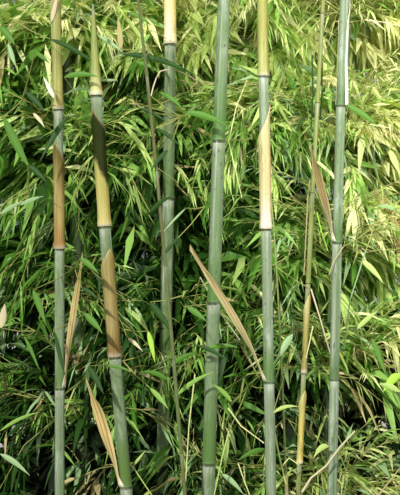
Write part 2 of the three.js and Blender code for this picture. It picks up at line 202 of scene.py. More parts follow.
def grid_faces(rows, columns, closed=False):
    """The quads of a grid of vertices, row by row. A closed one joins its last column to its
    first."""
    across = columns if closed else columns - 1
    i, j = np.meshgrid(np.arange(rows - 1), np.arange(across), indexing="ij")
    k = (j + 1) % columns
    quads = np.stack([i * columns + j, i * columns + k, (i + 1) * columns + k, (i + 1) * columns + j], -1)
    return quads.reshape(-1, 4)


# Materials


def node(tree, kind, inputs=None, **settings):
    made = tree.nodes.new(kind)
    for key, value in settings.items():
        setattr(made, key, value)
    for key, value in (inputs or {}).items():
        if isinstance(value, bpy.types.NodeSocket):
            tree.links.new(value, made.inputs[key])
        else:
            made.inputs[key].default_value = value
    return made


def new_material(name, **settings):
    """A material with a Principled shader, and its node tree and shader."""
    material = bpy.data.materials.new(name)
    material.use_nodes = True
    tree = material.node_tree
    shader = tree.nodes["Principled BSDF"]
    for key, value in settings.items():
        shader.inputs[key.replace("_", " ")].default_value = value
    return material, tree, shader


def ramp(tree, factor, *stops):
    """A grey ramp from pairs of position and brightness."""
    made = node(tree, "ShaderNodeValToRGB", {"Fac": factor})
    elements = made.color_ramp.elements
    while len(elements) < len(stops):
        elements.new(0.5)
    for element, (place, grey) in zip(elements, stops):
        element.position = place
        element.color = (grey, grey, grey, 1.0)
    return made.outputs["Color"]


def mixed(tree, factor, a, b, blend="MIX"):
    """Two colours mixed by a factor."""
    made = tree.nodes.new("ShaderNodeMix")
    made.data_type = "RGBA"
    made.blend_type = blend
    for socket, value in ((made.inputs[0], factor), (made.inputs[6], a), (made.inputs[7], b)):
        if isinstance(value, bpy.types.NodeSocket):
            tree.links.new(value, socket)
        else:
            socket.default_value = (*value, 1.0) if isinstance(value, (tuple, np.ndarray)) else value
    return made.outputs[2]


def object_place(tree):
    return tree.nodes.new("ShaderNodeTexCoord").outputs["Object"]


def noise_of(tree, vector, scale, detail=4.0, roughness=0.55):
    inputs = {"Vector": vector, "Scale": scale, "Detail": detail, "Roughness": roughness}
    return node(tree, "ShaderNodeTexNoise", inputs).outputs["Fac"]


def stretched(tree, vector, scale, detail, roughness=0.55):
    """Noise with a scale of its own along each axis."""
    mapped = node(tree, "ShaderNodeMapping", {"Vector": vector, "Scale": scale}).outputs["Vector"]
    return noise_of(tree, mapped, 1.0, detail, roughness)


def times(tree, a, b):
    return node(tree, "ShaderNodeMath", {0: a, 1: b}, operation="MULTIPLY").outputs[0]


def attribute(tree, name, output):
    return node(tree, "ShaderNodeAttribute", attribute_name=name).outputs[output]


def finished(made, colour, height, strength, distance):
    """A new material with its colour, and with bumps of a height in metres."""
    material, tree, shader = made
    bump = node(tree, "ShaderNodeBump", {"Height": height, "Strength": strength, "Distance": distance})
    tree.links.new(bump.outputs["Normal"], shader.inputs["Normal"])
    tree.links.new(colour, shader.inputs["Base Color"])
    return material


def layered(tree, colour, layers, blend="MIX", strength=None):
    """A colour with others laid over it, each where a value passes a grey ramp, at a strength."""
    for value, stops, over in layers:
        share = ramp(tree, value, *stops)
        if strength is not None:
            share = times(tree, share, strength)
        colour = mixed(tree, share, colour, over, blend)
    return colour


def culm_material():
    """Green skin with streaks along its length, small dark marks and a dusty bloom."""
    made = _, tree, shader = new_material("culm_skin", Specular_IOR_Level=0.3, Sheen_Weight=0.12)
    weave, bloom = attribute(tree, "weave", "Vector"), attribute(tree, "tint", "Alpha")
    broad = stretched(tree, weave, (0.24, 0.24, 0.004), 3.0)
    streaks = stretched(tree, weave, (0.9, 0.9, 0.02), 3.0)
    blotches = stretched(tree, weave, (0.1, 0.1, 0.028), 5.0, 0.7)
    marks = stretched(tree, weave, (0.32, 0.32, 0.12), 2.0, 0.5)
    colour = layered(tree, attribute(tree, "tint", "Color"), (
        (broad, ((0.46, 0.0), (0.6, 0.5)), (0.1, 0.18, 0.04)),
        (streaks, ((0.38, 0.0), (0.66, 0.5)), (0.08, 0.12, 0.05)),
    ))
    colour = layered(tree, colour, (
        (broad, ((0.3, 0.5), (0.42, 0.0)), (0.6, 0.66, 0.58)),
        (blotches, ((0.52, 0.0), (0.72, 0.5)), (0.54, 0.6, 0.52)),
    ), strength=bloom)
    colour = layered(tree, colour, ((marks, ((0.64, 0.0), (0.72, 0.7)), (0.045, 0.05, 0.035)),))
    tree.links.new(ramp(tree, blotches, (0.3, 0.36), (0.7, 0.62)), shader.inputs["Roughness"])
    return finished(made, colour, streaks, 0.25, 0.0004)


def sheath_material():
    """Dry paper with fine ribs along its length, and darker flecks."""
    made = _, tree, _ = new_material("sheath_paper", Roughness=0.62, Specular_IOR_Level=0.12)
    weave = attribute(tree, "weave", "Vector")
    ribs = stretched(tree, weave, (1.1, 0.008, 1.0), 2.0)
    flecks = stretched(tree, weave, (0.4, 0.04, 1.0), 4.0, 0.7)
    colour = layered(tree, attribute(tree, "tint", "Color"), (
        (ribs, ((0.42, 0.0), (0.66, 0.8)), (0.66, 0.56, 0.38)),
        (flecks, ((0.54, 0.0), (0.7, 0.8)), (0.6, 0.52, 0.38)),
        (flecks, ((0.28, 1.0), (0.44, 0.0)), (1.25, 1.25, 1.2)),
    ), "MULTIPLY")
    return finished(made, colour, ribs, 0.5, 0.0006)


# Light that passes through a leaf is yellower than the leaf: shares of its red, green and blue.
YELLOWER = (1.4, 1.25, 0.8)


def leaf_material(name, colour, rough, glow):
    """A plain coloured blade that lets some light through."""
    settings = {"Base_Color": (*colour, 1.0), "Roughness": rough, "Specular_IOR_Level": 0.25}
    material, tree, shader = new_material(name, **settings)
    lit = np.minimum(np.multiply(colour, YELLOWER), 1.0)
    through = node(tree, "ShaderNodeBsdfTranslucent", {"Color": (*lit, 1.0)})
    both = node(tree, "ShaderNodeMixShader", {0: glow, 1: shader.outputs[0], 2: through.outputs[0]})
    tree.links.new(both.outputs[0], tree.nodes["Material Output"].inputs["Surface"])
    return material


def plain_material(name, colour, rough):
    return new_material(name, Base_Color=(*colour, 1.0), Roughness=rough)[0]


def terracotta_material():
    """Fired clay with turning lines, pale lime bloom, darker damp patches, and darker towards the bottom.
    """
    made = _, tree, _ = new_material("terracotta", Roughness=0.88, Specular_IOR_Level=0.25)
    place = object_place(tree)
    patches = noise_of(tree, place, 9.0, 6.0, 0.62)
    grain = noise_of(tree, place, 240.0, 3.0)
    lines = stretched(tree, place, (1.2, 1.2, 120.0), 3.0)
    height = node(tree, "ShaderNodeSeparateXYZ", {"Vector": place}).outputs["Z"]
    colour = layered(tree, (0.42, 0.17, 0.085), (
        (patches, ((0.35, 0.0), (0.7, 1.0)), (0.62, 0.3, 0.17)),
        (patches, ((0.56, 0.0), (0.72, 0.55)), (0.7, 0.56, 0.46)),
        (height, ((0.0, 0.55), (0.16, 0.0)), (0.2, 0.095, 0.055)),
        (grain, ((0.3, 0.25), (0.5, 0.0)), (0.2, 0.08, 0.04)),
    ))
    return finished(made, colour, mixed(tree, 0.5, lines, grain), 0.35, 0.002)


def compost_material():
    """Dark, moist crumbs."""
    made = _, tree, _ = new_material("compost", Roughness=0.95, Specular_IOR_Level=0.2)
    crumbs = noise_of(tree, object_place(tree), 130.0, 6.0, 0.7)
    layer = (crumbs, ((0.35, 0.0), (0.65, 1.0)), (0.075, 0.05, 0.033))
    return finished(made, layered(tree, (0.012, 0.008, 0.006), (layer,)), crumbs, 0.9, 0.004)


# Culms


def joints_of(culm):
    """The joints of a culm from foot to tip: place, direction onward, radius and share."""
    place = np.array([*culm["foot"], SOIL_LEVEL + CLEAR], float)
    joints = []
    along, step = 0.0, float(culm["first"])
    while along < culm["length"]:
        if along + SPACING["last"] * step > culm["length"]:
            step = culm["length"] - along
        bend = ((along + step / 2) / culm["length"]) ** BEND_POWER
        x, y = (culm["lean"][i] + culm["bend"][i] * bend for i in (0, 1))
        onward = unit([x, y, 1.0])
        joints.append({"place": place.copy(), "onward": onward, "share": along / culm["length"]})
        place = place + onward * step
        along += step
        t = along / culm["length"]
        low = lerp(SPACING["ground"], 1.0, smoothstep(t, 0.0, SPACING["full_from"]))
        step = culm["pitch"] * low * lerp(1.0, SPACING["tip"], smoothstep(t, SPACING["short_from"], 1.0))
    joints.append({"place": place.copy(), "onward": joints[-1]["onward"], "share": 1.0})
    for joint in joints:
        joint["radius"] = culm["radius"] * (1.0 - TAPER * joint["share"] ** TAPER_POWER)
    if culm["name"] not in SHOOTS:
        return joints
    end = SHOOTS[culm["name"]]
    made = [joint for joint in joints if joint["share"] * culm["length"] < end]
    last = made[-1]
    tip = last["place"] + last["onward"] * (end - last["share"] * culm["length"])
    return made + [dict(last, place=tip, share=1.0, radius=SHOOT_TIP)]


for each in CULMS:
    each["joints"] = joints_of(each)
    each["thin"] = each["radius"] < THIN_RADIUS
    each["old"] = each["name"] in OLD
BY_NAME = {culm["name"]: culm for culm in CULMS}

# A joint's outline, for a culm of the profile's radius: height from the joint, and share of the
# radius. A dark groove lies between the lip of one stretch and the rounded foot of the next.
PROFILE_RADIUS = 8.0
JOINT_PROFILE = (
    (-16.0, 1.0), (-8.0, 1.0), (-5.0, 1.02), (-3.5, 1.045), (-3.2, 1.0), (-0.4, 0.99), (-0.1, 1.08),
    (0.9, 1.11), (2.0, 1.09), (3.2, 1.035), (5.2, 1.05), (8.0, 1.03), (12.0, 1.008), (17.0, 1.0),
)
GROOVE = (-3.3, 0.0)
# A stretch turns to the next one's direction within this distance of the joint.
TURN_WITHIN = 12.0
RING_STEP = {"front": 16.0, "old": 40.0}
CULM_SIDES = {"front": 24, "old": 16, "thin": 12}

# Culm colours in 0 to 255: clean skin and bloomed skin, how strong the bloom is, the share of a stretch
# over which it sets in, and how much of it is taken off the side that faces the viewer, in how narrow a
# strip, which leaves both edges paler as painted sheen.
SKIN_COLUMNS = "clean bloom dust rise rub sharp".split()
SKIN_ROWS = {
    "green": ((72, 106, 26), (118, 132, 102), 0.8, 0.55, 0.3, 6),
    "bright": ((67, 110, 25), (130, 140, 116), 0.85, 0.55, 0.45, 6),
    "lined": ((62, 96, 40), (142, 154, 130), 0.95, 0.22, 0.9, 36),
    "grey": ((82, 116, 46), (138, 150, 126), 0.95, 0.4, 0.2, 6),
    # Culm C's skin is darker as painted shade, for the shade it stands in.
    "shady": ((62, 91, 28), (107, 121, 88), 0.85, 0.5, 0.3, 6),
    "olive": ((138, 142, 66), (152, 156, 92), 0.35, 0.6, 0.2, 6),
    "dim": ((92, 88, 36), (108, 100, 52), 0.12, 0.6, 0.2, 6),
    # The old culms' skin is darker, partly as painted shade for their place behind the others, and has
    # less bloom.
    "old": ((70, 96, 36), (96, 108, 70), 0.4, 0.6, 0.0, 6),
}
SKINS = {name: dict(zip(SKIN_COLUMNS, row)) for name, row in SKIN_ROWS.items()}
SKIN_OF = {
    "a": "grey", "b": "green", "c": "shady", "d": "bright", "e": "grey", "f": "olive", "g": "lined",
    "h": "dim", "i": "olive",
}
# The bloom over a joint, with the angle from straight ahead of the side that has less of it, which leaves
# painted sheen at the edges, the pale band under a joint, which is fainter without bloom, and the dark
# scar.
BLOOM = {"from": 10.0, "wander": 14.0, "least": 0.12, "patchy": 0.3, "turn": 0.15}
BAND = {"colour": (194, 198, 180), "below": 5.0, "reach": 7.0, "share": 0.55, "patchy": 0.3, "least": 0.4}
SCAR = {"colour": (44, 38, 30), "share": 0.9}
# The skin's unevenness: its size round a culm and along it, how far apart culms lie in it, and its
# depth as a share of the radius. Their streaks lie apart too.
UNEVEN = {"round": 3.1, "along": 34.0, "apart": 7.0, "depth": 0.012}
WEAVE_APART = 400.0


def skin_colours(skin, up, down, gap, angle, wobble):
    """Colours of a stretch of culm by its height over the joint below and under the one above. The bloom
    is thinner on the side that faces the viewer, so that both edges look paler as painted sheen."""
    rise = smoothstep(up + BLOOM["wander"] * wobble, BLOOM["from"], skin["rise"] * gap)
    # Painted sheen: less bloom on the side facing the viewer, so both edges look paler.
    rub = skin["rub"] * clamped(-np.sin(angle - BLOOM["turn"])) ** skin["sharp"]
    dust = skin["dust"] * lerp(BLOOM["least"], 1.0, rise) * (1.0 - rub + BLOOM["patchy"] * wobble)
    dust = clamped(dust)[..., None]
    band = np.exp(-(((down - BAND["below"]) / BAND["reach"]) ** 2))
    band = band * (BAND["share"] + BAND["patchy"] * wobble) * lerp(BAND["least"], 1.0, skin["dust"])
    clean, bloom, pale = (linear(*colour) for colour in (skin["clean"], skin["bloom"], BAND["colour"]))
    colour = lerp(lerp(clean, bloom, dust), pale, clamped(band)[..., None])
    return np.concatenate([colour, dust], -1)


def culm_rings(culm):
    """The rings of a culm: centre, direction, radius, heights to the joints, and scar share."""
    joints = culm["joints"]
    rings, run, gap = [], 0.0, 0.0
    for i, (joint, following) in enumerate(zip(joints, joints[1:])):
        topmost = i == len(joints) - 2
        run += gap
        gap = float(np.linalg.norm(following["place"] - joint["place"]))
        size = min(joint["radius"], following["radius"]) / PROFILE_RADIUS
        lower = [(h * size, f) for h, f in JOINT_PROFILE if h > 0] if i else [(0.0, 1.0)]
        top = [(gap, 1.0)] if topmost else [(gap + h * size, f) for h, f in JOINT_PROFILE if h < 0]
        start, end = lower[-1][0], top[0][0]
        count = max(int((end - start) / RING_STEP["old" if culm["old"] else "front"]), 1)
        middle = [(start + (end - start) * k / (count + 1), 1.0) for k in range(1, count + 1)]
        before = joints[max(i - 1, 0)]["onward"]
        for height, factor in lower + middle + top:
            nearest = min(height, gap - height)
            other = before if height < gap / 2 else following["onward"]
            turn = 0.5 * max(0.0, 1.0 - nearest / TURN_WITHIN)
            grooved = GROOVE[0] * size < height - gap < GROOVE[1] * size
            rings.append({
                "centre": joint["place"] + joint["onward"] * height,
                "along": unit(lerp(joint["onward"], other, turn)),
                "radius": lerp(joint["radius"], following["radius"], height / gap) * factor,
                "up": height, "down": gap - height, "gap": gap, "run": run + height,
                "scar": float(grooved and not topmost),
            })
    return rings


def unevenness(culm, centres, angles):
    """How a culm's skin swells and sinks, from -1 to 1, at each ring and angle."""
    across, start = UNEVEN["round"], UNEVEN["apart"] * ord(culm["name"])
    return np.array([[
        noise.noise(Vector((across * math.cos(a), across * math.sin(a) + start, c[2] / UNEVEN["along"])))
        for a in angles] for c in centres])


def build_culm(culm, material):
    rings = culm_rings(culm)
    sides = CULM_SIDES["thin" if culm["thin"] else "old" if culm["old"] else "front"]
    angle, cosine, sine = circle(sides)
    centre, along, radius, up, down, gap, scar, run = (
        np.array([ring[key] for ring in rings])
        for key in ("centre", "along", "radius", "up", "down", "gap", "scar", "run")
    )
    across, beside = axes_across(along)
    around = beside[:, None] * cosine[None, :, None] + across[:, None] * sine[None, :, None]
    wobble = unevenness(culm, centre, angle)
    verts = centre[:, None] + around * (radius[:, None] * (1.0 + UNEVEN["depth"] * wobble))[..., None]
    skin = SKINS["old"] if culm["old"] else SKINS[SKIN_OF[culm["name"]]]
    heights = (values[:, None] * np.ones(sides) for values in (up, down, gap))
    colours = skin_colours(skin, *heights, angle[None, :], wobble)
    scarred = SCAR["share"] * scar[:, None, None]
    colours[..., :3] = lerp(colours[..., :3], linear(*SCAR["colour"]), scarred)
    run = run[:, None] + WEAVE_APART * ord(culm["name"]) + 0.0 * angle
    weave = np.stack([radius[:, None] * cosine, radius[:, None] * sine, run], -1)
    foot = np.arange(sides)[::-1][None, :]
    tip = (np.arange(sides) + (len(rings) - 1) * sides)[None, :]
    faces = [grid_faces(len(rings), sides, closed=True), foot, tip]
    name = f"culm_{culm['name']}"
    piece = make_piece(name + "_skin", verts, faces, material, colours, weave)
    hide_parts(name)


# Sheaths

# Papers, each as the colours of its foot, middle and tip in 0 to 255.
PAPER = {
    "yellow": ((172, 170, 106), (148, 154, 92), (162, 168, 112)),
    "brown": ((150, 118, 70), (156, 142, 90), (96, 88, 44)),
    "green": ((184, 187, 130), (144, 157, 92), (135, 149, 88)),
    # The olive paper's dark tip is painted shadow over the upper part of its sheath.
    "olive": ((190, 182, 116), (168, 164, 96), (36, 46, 2)),
    "tan": ((128, 106, 60), (150, 138, 90), (148, 137, 86)),
    "cream": ((236, 230, 190), (228, 218, 156), (226, 216, 152)),
    "lime": ((162, 166, 104), (147, 149, 84), (142, 160, 82)),
    "peach": ((226, 222, 198), (192, 184, 136), (184, 182, 136)),
    "stalk": ((144, 135, 85), (149, 144, 85), (182, 176, 121)),
    "gold": ((198, 190, 116), (194, 184, 104), (187, 182, 116)),
    "white": ((253, 253, 250), (248, 248, 230), (216, 214, 186)),
    "straw": ((214, 196, 146), (200, 180, 124), (158, 148, 88)),
    "wheat": ((216, 211, 173), (194, 182, 133), (135, 119, 76)),
    "bark": ((210, 204, 180), (138, 124, 80), (94, 88, 44)),
}
# The colours at a sheath's edges and on its foot, and the painted shade in its folds.
PAPER_EDGE, PAPER_FOOT, PAPER_FOLD_SHADE = linear(228, 216, 172), linear(240, 236, 214), linear(96, 70, 38)

# Each sheath: culm, joint, length, the compass angle it faces, how far it spreads to each side,
# its paper, its tilt where it hangs loose, and the share of its width that its top has.
SHEATHS = (
    ("a", 7, 150, -60, 176, "yellow", None, 1.0),
    ("a", 6, 131, -120, 176, "brown", None, 1.0),
    ("a", 5, 166, -15, 58, "straw", 7.5, 1.0),
    ("b", 7, 104, -60, 176, "green", None, 0.22),
    ("b", 6, 139, -120, 176, "olive", None, 1.0),
    ("b", 5, 130, -60, 176, "tan", None, 1.0),
    ("b", 4, 134, 195, 80, "straw", 12.0, 1.0),
    ("c", 7, 160, -60, 176, "cream", None, 1.0),
    ("e", 7, 150, -60, 176, "lime", None, 1.0),
    ("e", 6, 150, 0, 176, "peach", None, 1.0),
    ("e", 5, 163, 185, 75, "wheat", 27.0, 1.0),
    ("f", 7, 99, -60, 176, "stalk", None, 1.0),
    ("f", 6, 92, -60, 176, "gold", None, 1.0),
    ("g", 7, 145, 46, 100, "white", None, 1.0),
    ("g", 6, 118, 190, 75, "bark", 14.5, 1.0),
    ("i", 5, 30, -60, 176, "cream", None, 1.0),
)
# A sheath's thickness, its grid, and how high and how close its ribs are.
SHEATH = {"thickness": 0.45, "columns": 25, "rows": 30, "rib": 0.12, "ribs": 46.0}

# A wrapped sheath. Its shoulder is its height at the edges as a share. One that spreads less than
# round stands off the culm on its right, by a depth that fades between two heights.
WRAP = {
    "shoulder": 0.7, "ragged": 0.02, "foot": 0.4, "gap": 0.55, "overlap": 0.45, "wave": 0.25,
    "flare": 0.9, "flare_from": 0.82, "round": 170, "off": 2.4, "off_between": (60.0, 10.0),
}
# Its swellings over the joint's ring: share of the radius, height, and reach up and down.
SWELLS = ((0.11, 1.0, 5.0), (0.05, 5.0, 7.0))

# A loose sheath leans out by a power of its height, turns by an angle, opens and then closes. Its
# width is a share of its spread at shares of its length.
LOOSE = {
    "curl": 1.25, "turn": 62.0, "outside": 1.08, "gap": 0.8, "wave": 0.05, "open": 0.35, "close": 0.3,
    "turn_wander": 0.2, "wander": 1.6, "foot": 1.5, "rounded": 0.04,
}
LOOSE_WIDTH = ((0.0, 0.1, 0.3, 0.5, 0.7, 0.8, 0.86, 1.0), (0.85, 0.46, 0.52, 0.6, 0.58, 0.4, 0.15, 0.04))

# The tip's colour is full at the tip, or sooner: the olive paper's sharp dark tip is painted shadow over
# the sheath's upper part. A wrapped sheath has painted shade on its right, away from the key light, as a
# warmer and darker tint, unless its paper is the white one. Folds of painted shade have a depth of
# colour, a place across and a width.
TIP_FULL = {"olive": 0.56}
SHADED_SIDE_TINT, SHADED_SIDE_SHARE, UNSHADED_PAPER = np.array([0.94, 0.76, 0.56]), 0.65, "white"
FOLD_SHADES = ((0.8, 0.35, 0.1), (0.6, -0.3, 0.08))
RIM_PALE = 0.35
WEAR = {
    "wrapped": {"edge": 0.25, "foot": 0.6, "reach": 4.0},
    "loose": {"edge": 0.7, "foot": 0.9, "reach": 10.0},
}


def sheet_grid():
    """Places on a sheath, from -1 to 1 across it and from 0 to 1 along it."""
    return np.meshgrid(np.linspace(-1, 1, SHEATH["columns"]), np.linspace(0, 1, SHEATH["rows"]))


def wrapped_sheet(joint, length, facing, spread, narrowest, ripple):
    """Places and outward directions on a sheath that hugs its culm. Its top rises to a point on
    the side it faces, and one edge overlaps the other."""
    across, beside = axes_across(joint["onward"])
    u, v = sheet_grid()
    angle = np.radians(facing + u * spread)
    top = length * (1.0 - (1.0 - WRAP["shoulder"]) * np.abs(u))
    top = top + WRAP["ragged"] * length * ripple(u * 2.0, 0.0)
    height = WRAP["foot"] + v * (top - WRAP["foot"])
    swell = sum(share * np.exp(-((height - at) / reach) ** 2) for share, at, reach in SWELLS)
    away = WRAP["flare"] * smoothstep(v, WRAP["flare_from"], 1.0) * (narrowest == 1.0)
    hug = WRAP["gap"] + WRAP["overlap"] * (u + 1.0) / 2.0 + away + WRAP["wave"] * ripple(u * 1.5, v * 5.0)
    if spread < WRAP["round"]:
        high, low = WRAP["off_between"]
        hug = hug + WRAP["off"] * smoothstep(-height, -high, -low) * clamped(np.cos(angle))
    out = joint["radius"] * (1.0 + swell) * lerp(1.0, narrowest, height / length) + hug
    outward = np.cos(angle)[..., None] * beside + np.sin(angle)[..., None] * across
    places = joint["place"] + joint["onward"] * height[..., None] + outward * out[..., None]
    return places, outward, u, v, height


def loose_sheet(joint, length, facing, spread, tilt, ripple):
    """The same for a sheath that has come away: a trough that leans out, opens and narrows."""
    across, beside = axes_across(joint["onward"])
    u, v = sheet_grid()
    facing = math.radians(facing)
    turn_way = 1.0 if math.cos(facing) > 0 else -1.0
    outward = math.cos(facing) * beside + math.sin(facing) * across
    sideways = -math.sin(facing) * beside + math.cos(facing) * across
    inner = joint["radius"] * LOOSE["outside"] + LOOSE["gap"]
    half = inner * math.radians(spread) * np.interp(v, *LOOSE_WIDTH)
    half = half * (1.0 + LOOSE["wave"] * ripple(u, v * 6.0))
    opened = 1.0 + LOOSE["open"] * smoothstep(v, 0.0, 0.5)
    curve = inner * opened * lerp(1.0, LOOSE["close"], smoothstep(v, 0.7, 1.0))
    angle = u * half / curve
    lean = math.tan(math.radians(tilt)) * v ** LOOSE["curl"] * length
    turn = turn_way * math.radians(LOOSE["turn"]) * smoothstep(v, 0.05, 0.55)
    turn = turn + LOOSE["turn_wander"] * ripple(0.0, v * 2.0) * v
    deep = -curve * (1.0 - np.cos(angle))
    wide = curve * np.sin(angle)
    out = inner + lean + deep * np.cos(turn) + wide * np.sin(turn)
    out = out + LOOSE["wander"] * ripple(0.0, v * 3.0) * v
    side = wide * np.cos(turn) - deep * np.sin(turn)
    height = LOOSE["foot"] + v * length * (1.0 - LOOSE["rounded"] * u * u)
    places = joint["place"] + joint["onward"] * height[..., None] + outward * out[..., None]
    places = places + sideways * side[..., None]
    return places, unit(np.cross(np.gradient(places, axis=1), np.gradient(places, axis=0))), u, v, height


def ripple_from(offset):
    """A smooth unevenness, from -1 to 1, as a function of places on a sheath."""
    def ripple(x, y):
        x, y = np.broadcast_arrays(np.asarray(x, float), np.asarray(y, float))
        spots = (Vector((a * 1.3 + offset, b, offset * 0.37)) for a, b in zip(x.ravel(), y.ravel()))
        return np.array([noise.noise(spot) for spot in spots]).reshape(x.shape)
    return ripple


def thick_faces(rows, columns):
    """The quads of a sheet's front, back and rim, where the back's vertices follow the front's."""
    count = rows * columns
    front = grid_faces(rows, columns)
    rim = np.concatenate([
        np.arange(columns), columns * np.arange(1, rows) + columns - 1,
        (rows - 1) * columns + np.arange(columns - 2, -1, -1), columns * np.arange(rows - 2, 0, -1),
    ])
    following = np.roll(rim, -1)
    edge = np.stack([rim, rim + count, following + count, following], -1)
    return np.concatenate([front, front[:, ::-1] + count, edge])


def paper_colours(paper, form, outward, u, v, height, ripple):
    """A sheath's colours from foot to tip, with pale edges, painted shade on the right of a wrapped one,
    and painted shade in the folds where it hangs loose.
    """
    base, middle, tip = (linear(*colour) for colour in PAPER[paper])
    wear = WEAR[form]
    shade = v + 0.12 * u + 0.1 * ripple(u * 2.0, v * 4.0)
    colours = lerp(base, middle, smoothstep(shade, 0.0, 0.4)[..., None])
    # The tip colour. The olive paper's sharp dark tip is painted shadow.
    colours = lerp(colours, tip, smoothstep(shade, 0.5, TIP_FULL.get(paper, 1.0))[..., None])
    # Painted shade on a wrapped sheath's right, away from the key light: warmer and darker.
    if form == "wrapped" and paper != UNSHADED_PAPER:
        east = SHADED_SIDE_SHARE * smoothstep(outward[..., 0], 0.2, 0.95)
        colours = colours * lerp(1.0, SHADED_SIDE_TINT, east[..., None])
    rimmed = wear["edge"] * smoothstep(np.abs(u), 0.84, 1.0) + RIM_PALE * smoothstep(v, 0.96, 1.0)
    colours = lerp(colours, PAPER_EDGE, clamped(rimmed)[..., None])
    if form == "loose":
        # Painted shade along two folds of a loose sheath.
        folds = sum(deep * np.exp(-(((u - at) / wide) ** 2)) for deep, at, wide in FOLD_SHADES)
        colours = lerp(colours, PAPER_FOLD_SHADE, (folds * smoothstep(v, 0.05, 0.3))[..., None])
    foot = wear["foot"] * np.exp(-((height / wear["reach"]) ** 4))
    return lerp(colours, PAPER_FOOT, foot[..., None])


def build_sheath(spec, material):
    culm, joint_number, length, facing, spread, paper, tilt, narrowest = spec
    joint = BY_NAME[culm]["joints"][joint_number]
    offset = 13.7 * joint_number + 5.3 * ord(culm)
    ripple = ripple_from(offset)
    form = "wrapped" if tilt is None else "loose"
    if form == "wrapped":
        outer, outward, u, v, height = wrapped_sheet(joint, length, facing, spread, narrowest, ripple)
    else:
        outer, outward, u, v, height = loose_sheet(joint, length, facing, spread, tilt, ripple)
    ribs = SHEATH["rib"] * np.sin(u * SHEATH["ribs"] + 2.0 * ripple(u * 3.0, v * 2.0))
    outer = outer + outward * ribs[..., None]
    inner = outer - outward * SHEATH["thickness"]
    colours = paper_colours(paper, form, outward, u, v, height, ripple)
    weave = np.stack([u * math.radians(spread) * joint["radius"], height, np.full_like(u, offset)], -1)
    verts, colours, weave = (
        np.concatenate(sides) for sides in ((outer, inner), (colours, colours), (weave, weave))
    )
    name = f"{'sheath' if form == 'wrapped' else 'loose_sheath'}_{culm}{joint_number}"
    piece = make_piece(name + "_paper", verts, thick_faces(*u.shape), material, colours, weave)
    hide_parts(name)


# Foliage

# Branches rise, then droop. A joint has a main and a lesser branch, and further up a single one.
# Each starts a little over its joint and inside the skin, and thins to its tip.
BRANCH = {
    "rise": 36.0, "rise_jitter": 16.0, "jitter": 40.0, "lesser": 0.62, "single_from": 0.8,
    "lesser_turn": 40.0, "thin_turn": 75.0, "shrink": 0.5, "length_jitter": 0.25, "middle": 0.5,
    "droop": 0.75, "radius": 1.6, "thin": 0.7, "full_length": 300.0, "tip": 0.5,
    "over": 7.0, "sunk": 0.7, "points": 9, "fewest": 3,
}
CROWN_RADIUS = 680.0
STREAM = {"spread": 7919, "start": 104729, "times": 16807, "modulus": 2147483647}

# Finer branches at each joint of a culm: how many, how steep the flattest is, and the longest as a
# share of the culm's reach. The waist is the lowest stretch of an old culm's upper tier. Every
# fourth one on an old culm keeps to the outward side.
FINER = {
    "thin": (3, 15.0, 0.7), "young": (6, 15.0, 0.7), "old": (8, 15.0, 0.7), "waist": (17, 0.0, 0.85),
    "low": (23, 0.0, 0.85),
}
FINER_STEEPEST, FINER_SHORTEST, WAIST_TO, OUTWARD = 60.0, 0.25, 11, 75.0


def stream(seed):
    """The same repeatable source of numbers as the solids use."""
    state = (seed * STREAM["spread"] + STREAM["start"]) * STREAM["times"] % STREAM["modulus"]
    while True:
        state = state * STREAM["times"] % STREAM["modulus"]
        yield state / STREAM["modulus"]


def branches_at(culm, joint, side, random):
    """The main and lesser branch of one joint, as heading, rise and length."""
    single = culm["thin"] or joint["share"] > BRANCH["single_from"]
    made = []
    for size in (1.0,) if single else (1.0, BRANCH["lesser"]):
        turn, rise, long = (2.0 * next(random) - 1.0 for _ in range(3))
        base = culm["plane"] + (side * BRANCH["thin_turn"] if culm["thin"] else 90 - side * 90)
        turned = BRANCH["lesser_turn"] * math.copysign(1.0, turn) if size < 1.0 else 0.0
        made.append({
            "heading": base + turned + BRANCH["jitter"] * turn,
            "rise": BRANCH["rise"] + BRANCH["rise_jitter"] * rise,
            "length": culm["reach"] * size * (1.0 - BRANCH["shrink"] * joint["share"])
            * (1.0 + BRANCH["length_jitter"] * long),
            "leaves": 3 if size == 1.0 else 2,
        })
    return made


def all_branches():
    """Every branch of the solids in their order, and finer ones between them."""
    extra = np.random.default_rng(SEED)
    made = []
    for culm in CULMS:
        seed = culm["seed"]
        for tier, (first, last) in enumerate(culm["leafy"]):
            last = min(last, len(culm["joints"]) - 2)
            for sides in ((1, -1),) if culm["thin"] else ((1,), (-1,)):
                random = stream(seed)
                seed += 1
                for j in range(first, last + 1):
                    side = 1 if j % 2 else -1
                    if side not in sides:
                        continue
                    for branch in branches_at(culm, culm["joints"][j], side, random):
                        for _ in range(branch["leaves"]):
                            next(random)
                        made.append((culm, j, tier, branch))
            for j in range(first, last + 1):
                made.extend((culm, j, tier, b) for b in finer_branches(culm, j, tier, extra))
    return made


def finer_branches(culm, j, tier, random):
    """Shorter branches at a joint, all round the culm, which the solids are too coarse to have."""
    kind = "thin" if culm["thin"] else "old" if culm["old"] else "young"
    if culm["old"] and (tier == 0 or j < WAIST_TO):
        kind = "waist" if tier else "low"
    count, flattest, longest = FINER[kind]
    outward = math.degrees(math.atan2(culm["foot"][1], culm["foot"][0]))
    reach = culm["reach"] * (1.0 - BRANCH["shrink"] * culm["joints"][j]["share"])
    for k in range(count):
        aside = OUTWARD if culm["old"] and k % 4 == 1 else 180.0
        yield {
            "heading": outward + random.uniform(-aside, aside),
            "rise": random.uniform(flattest, FINER_STEEPEST),
            "length": reach * random.uniform(FINER_SHORTEST, longest),
        }


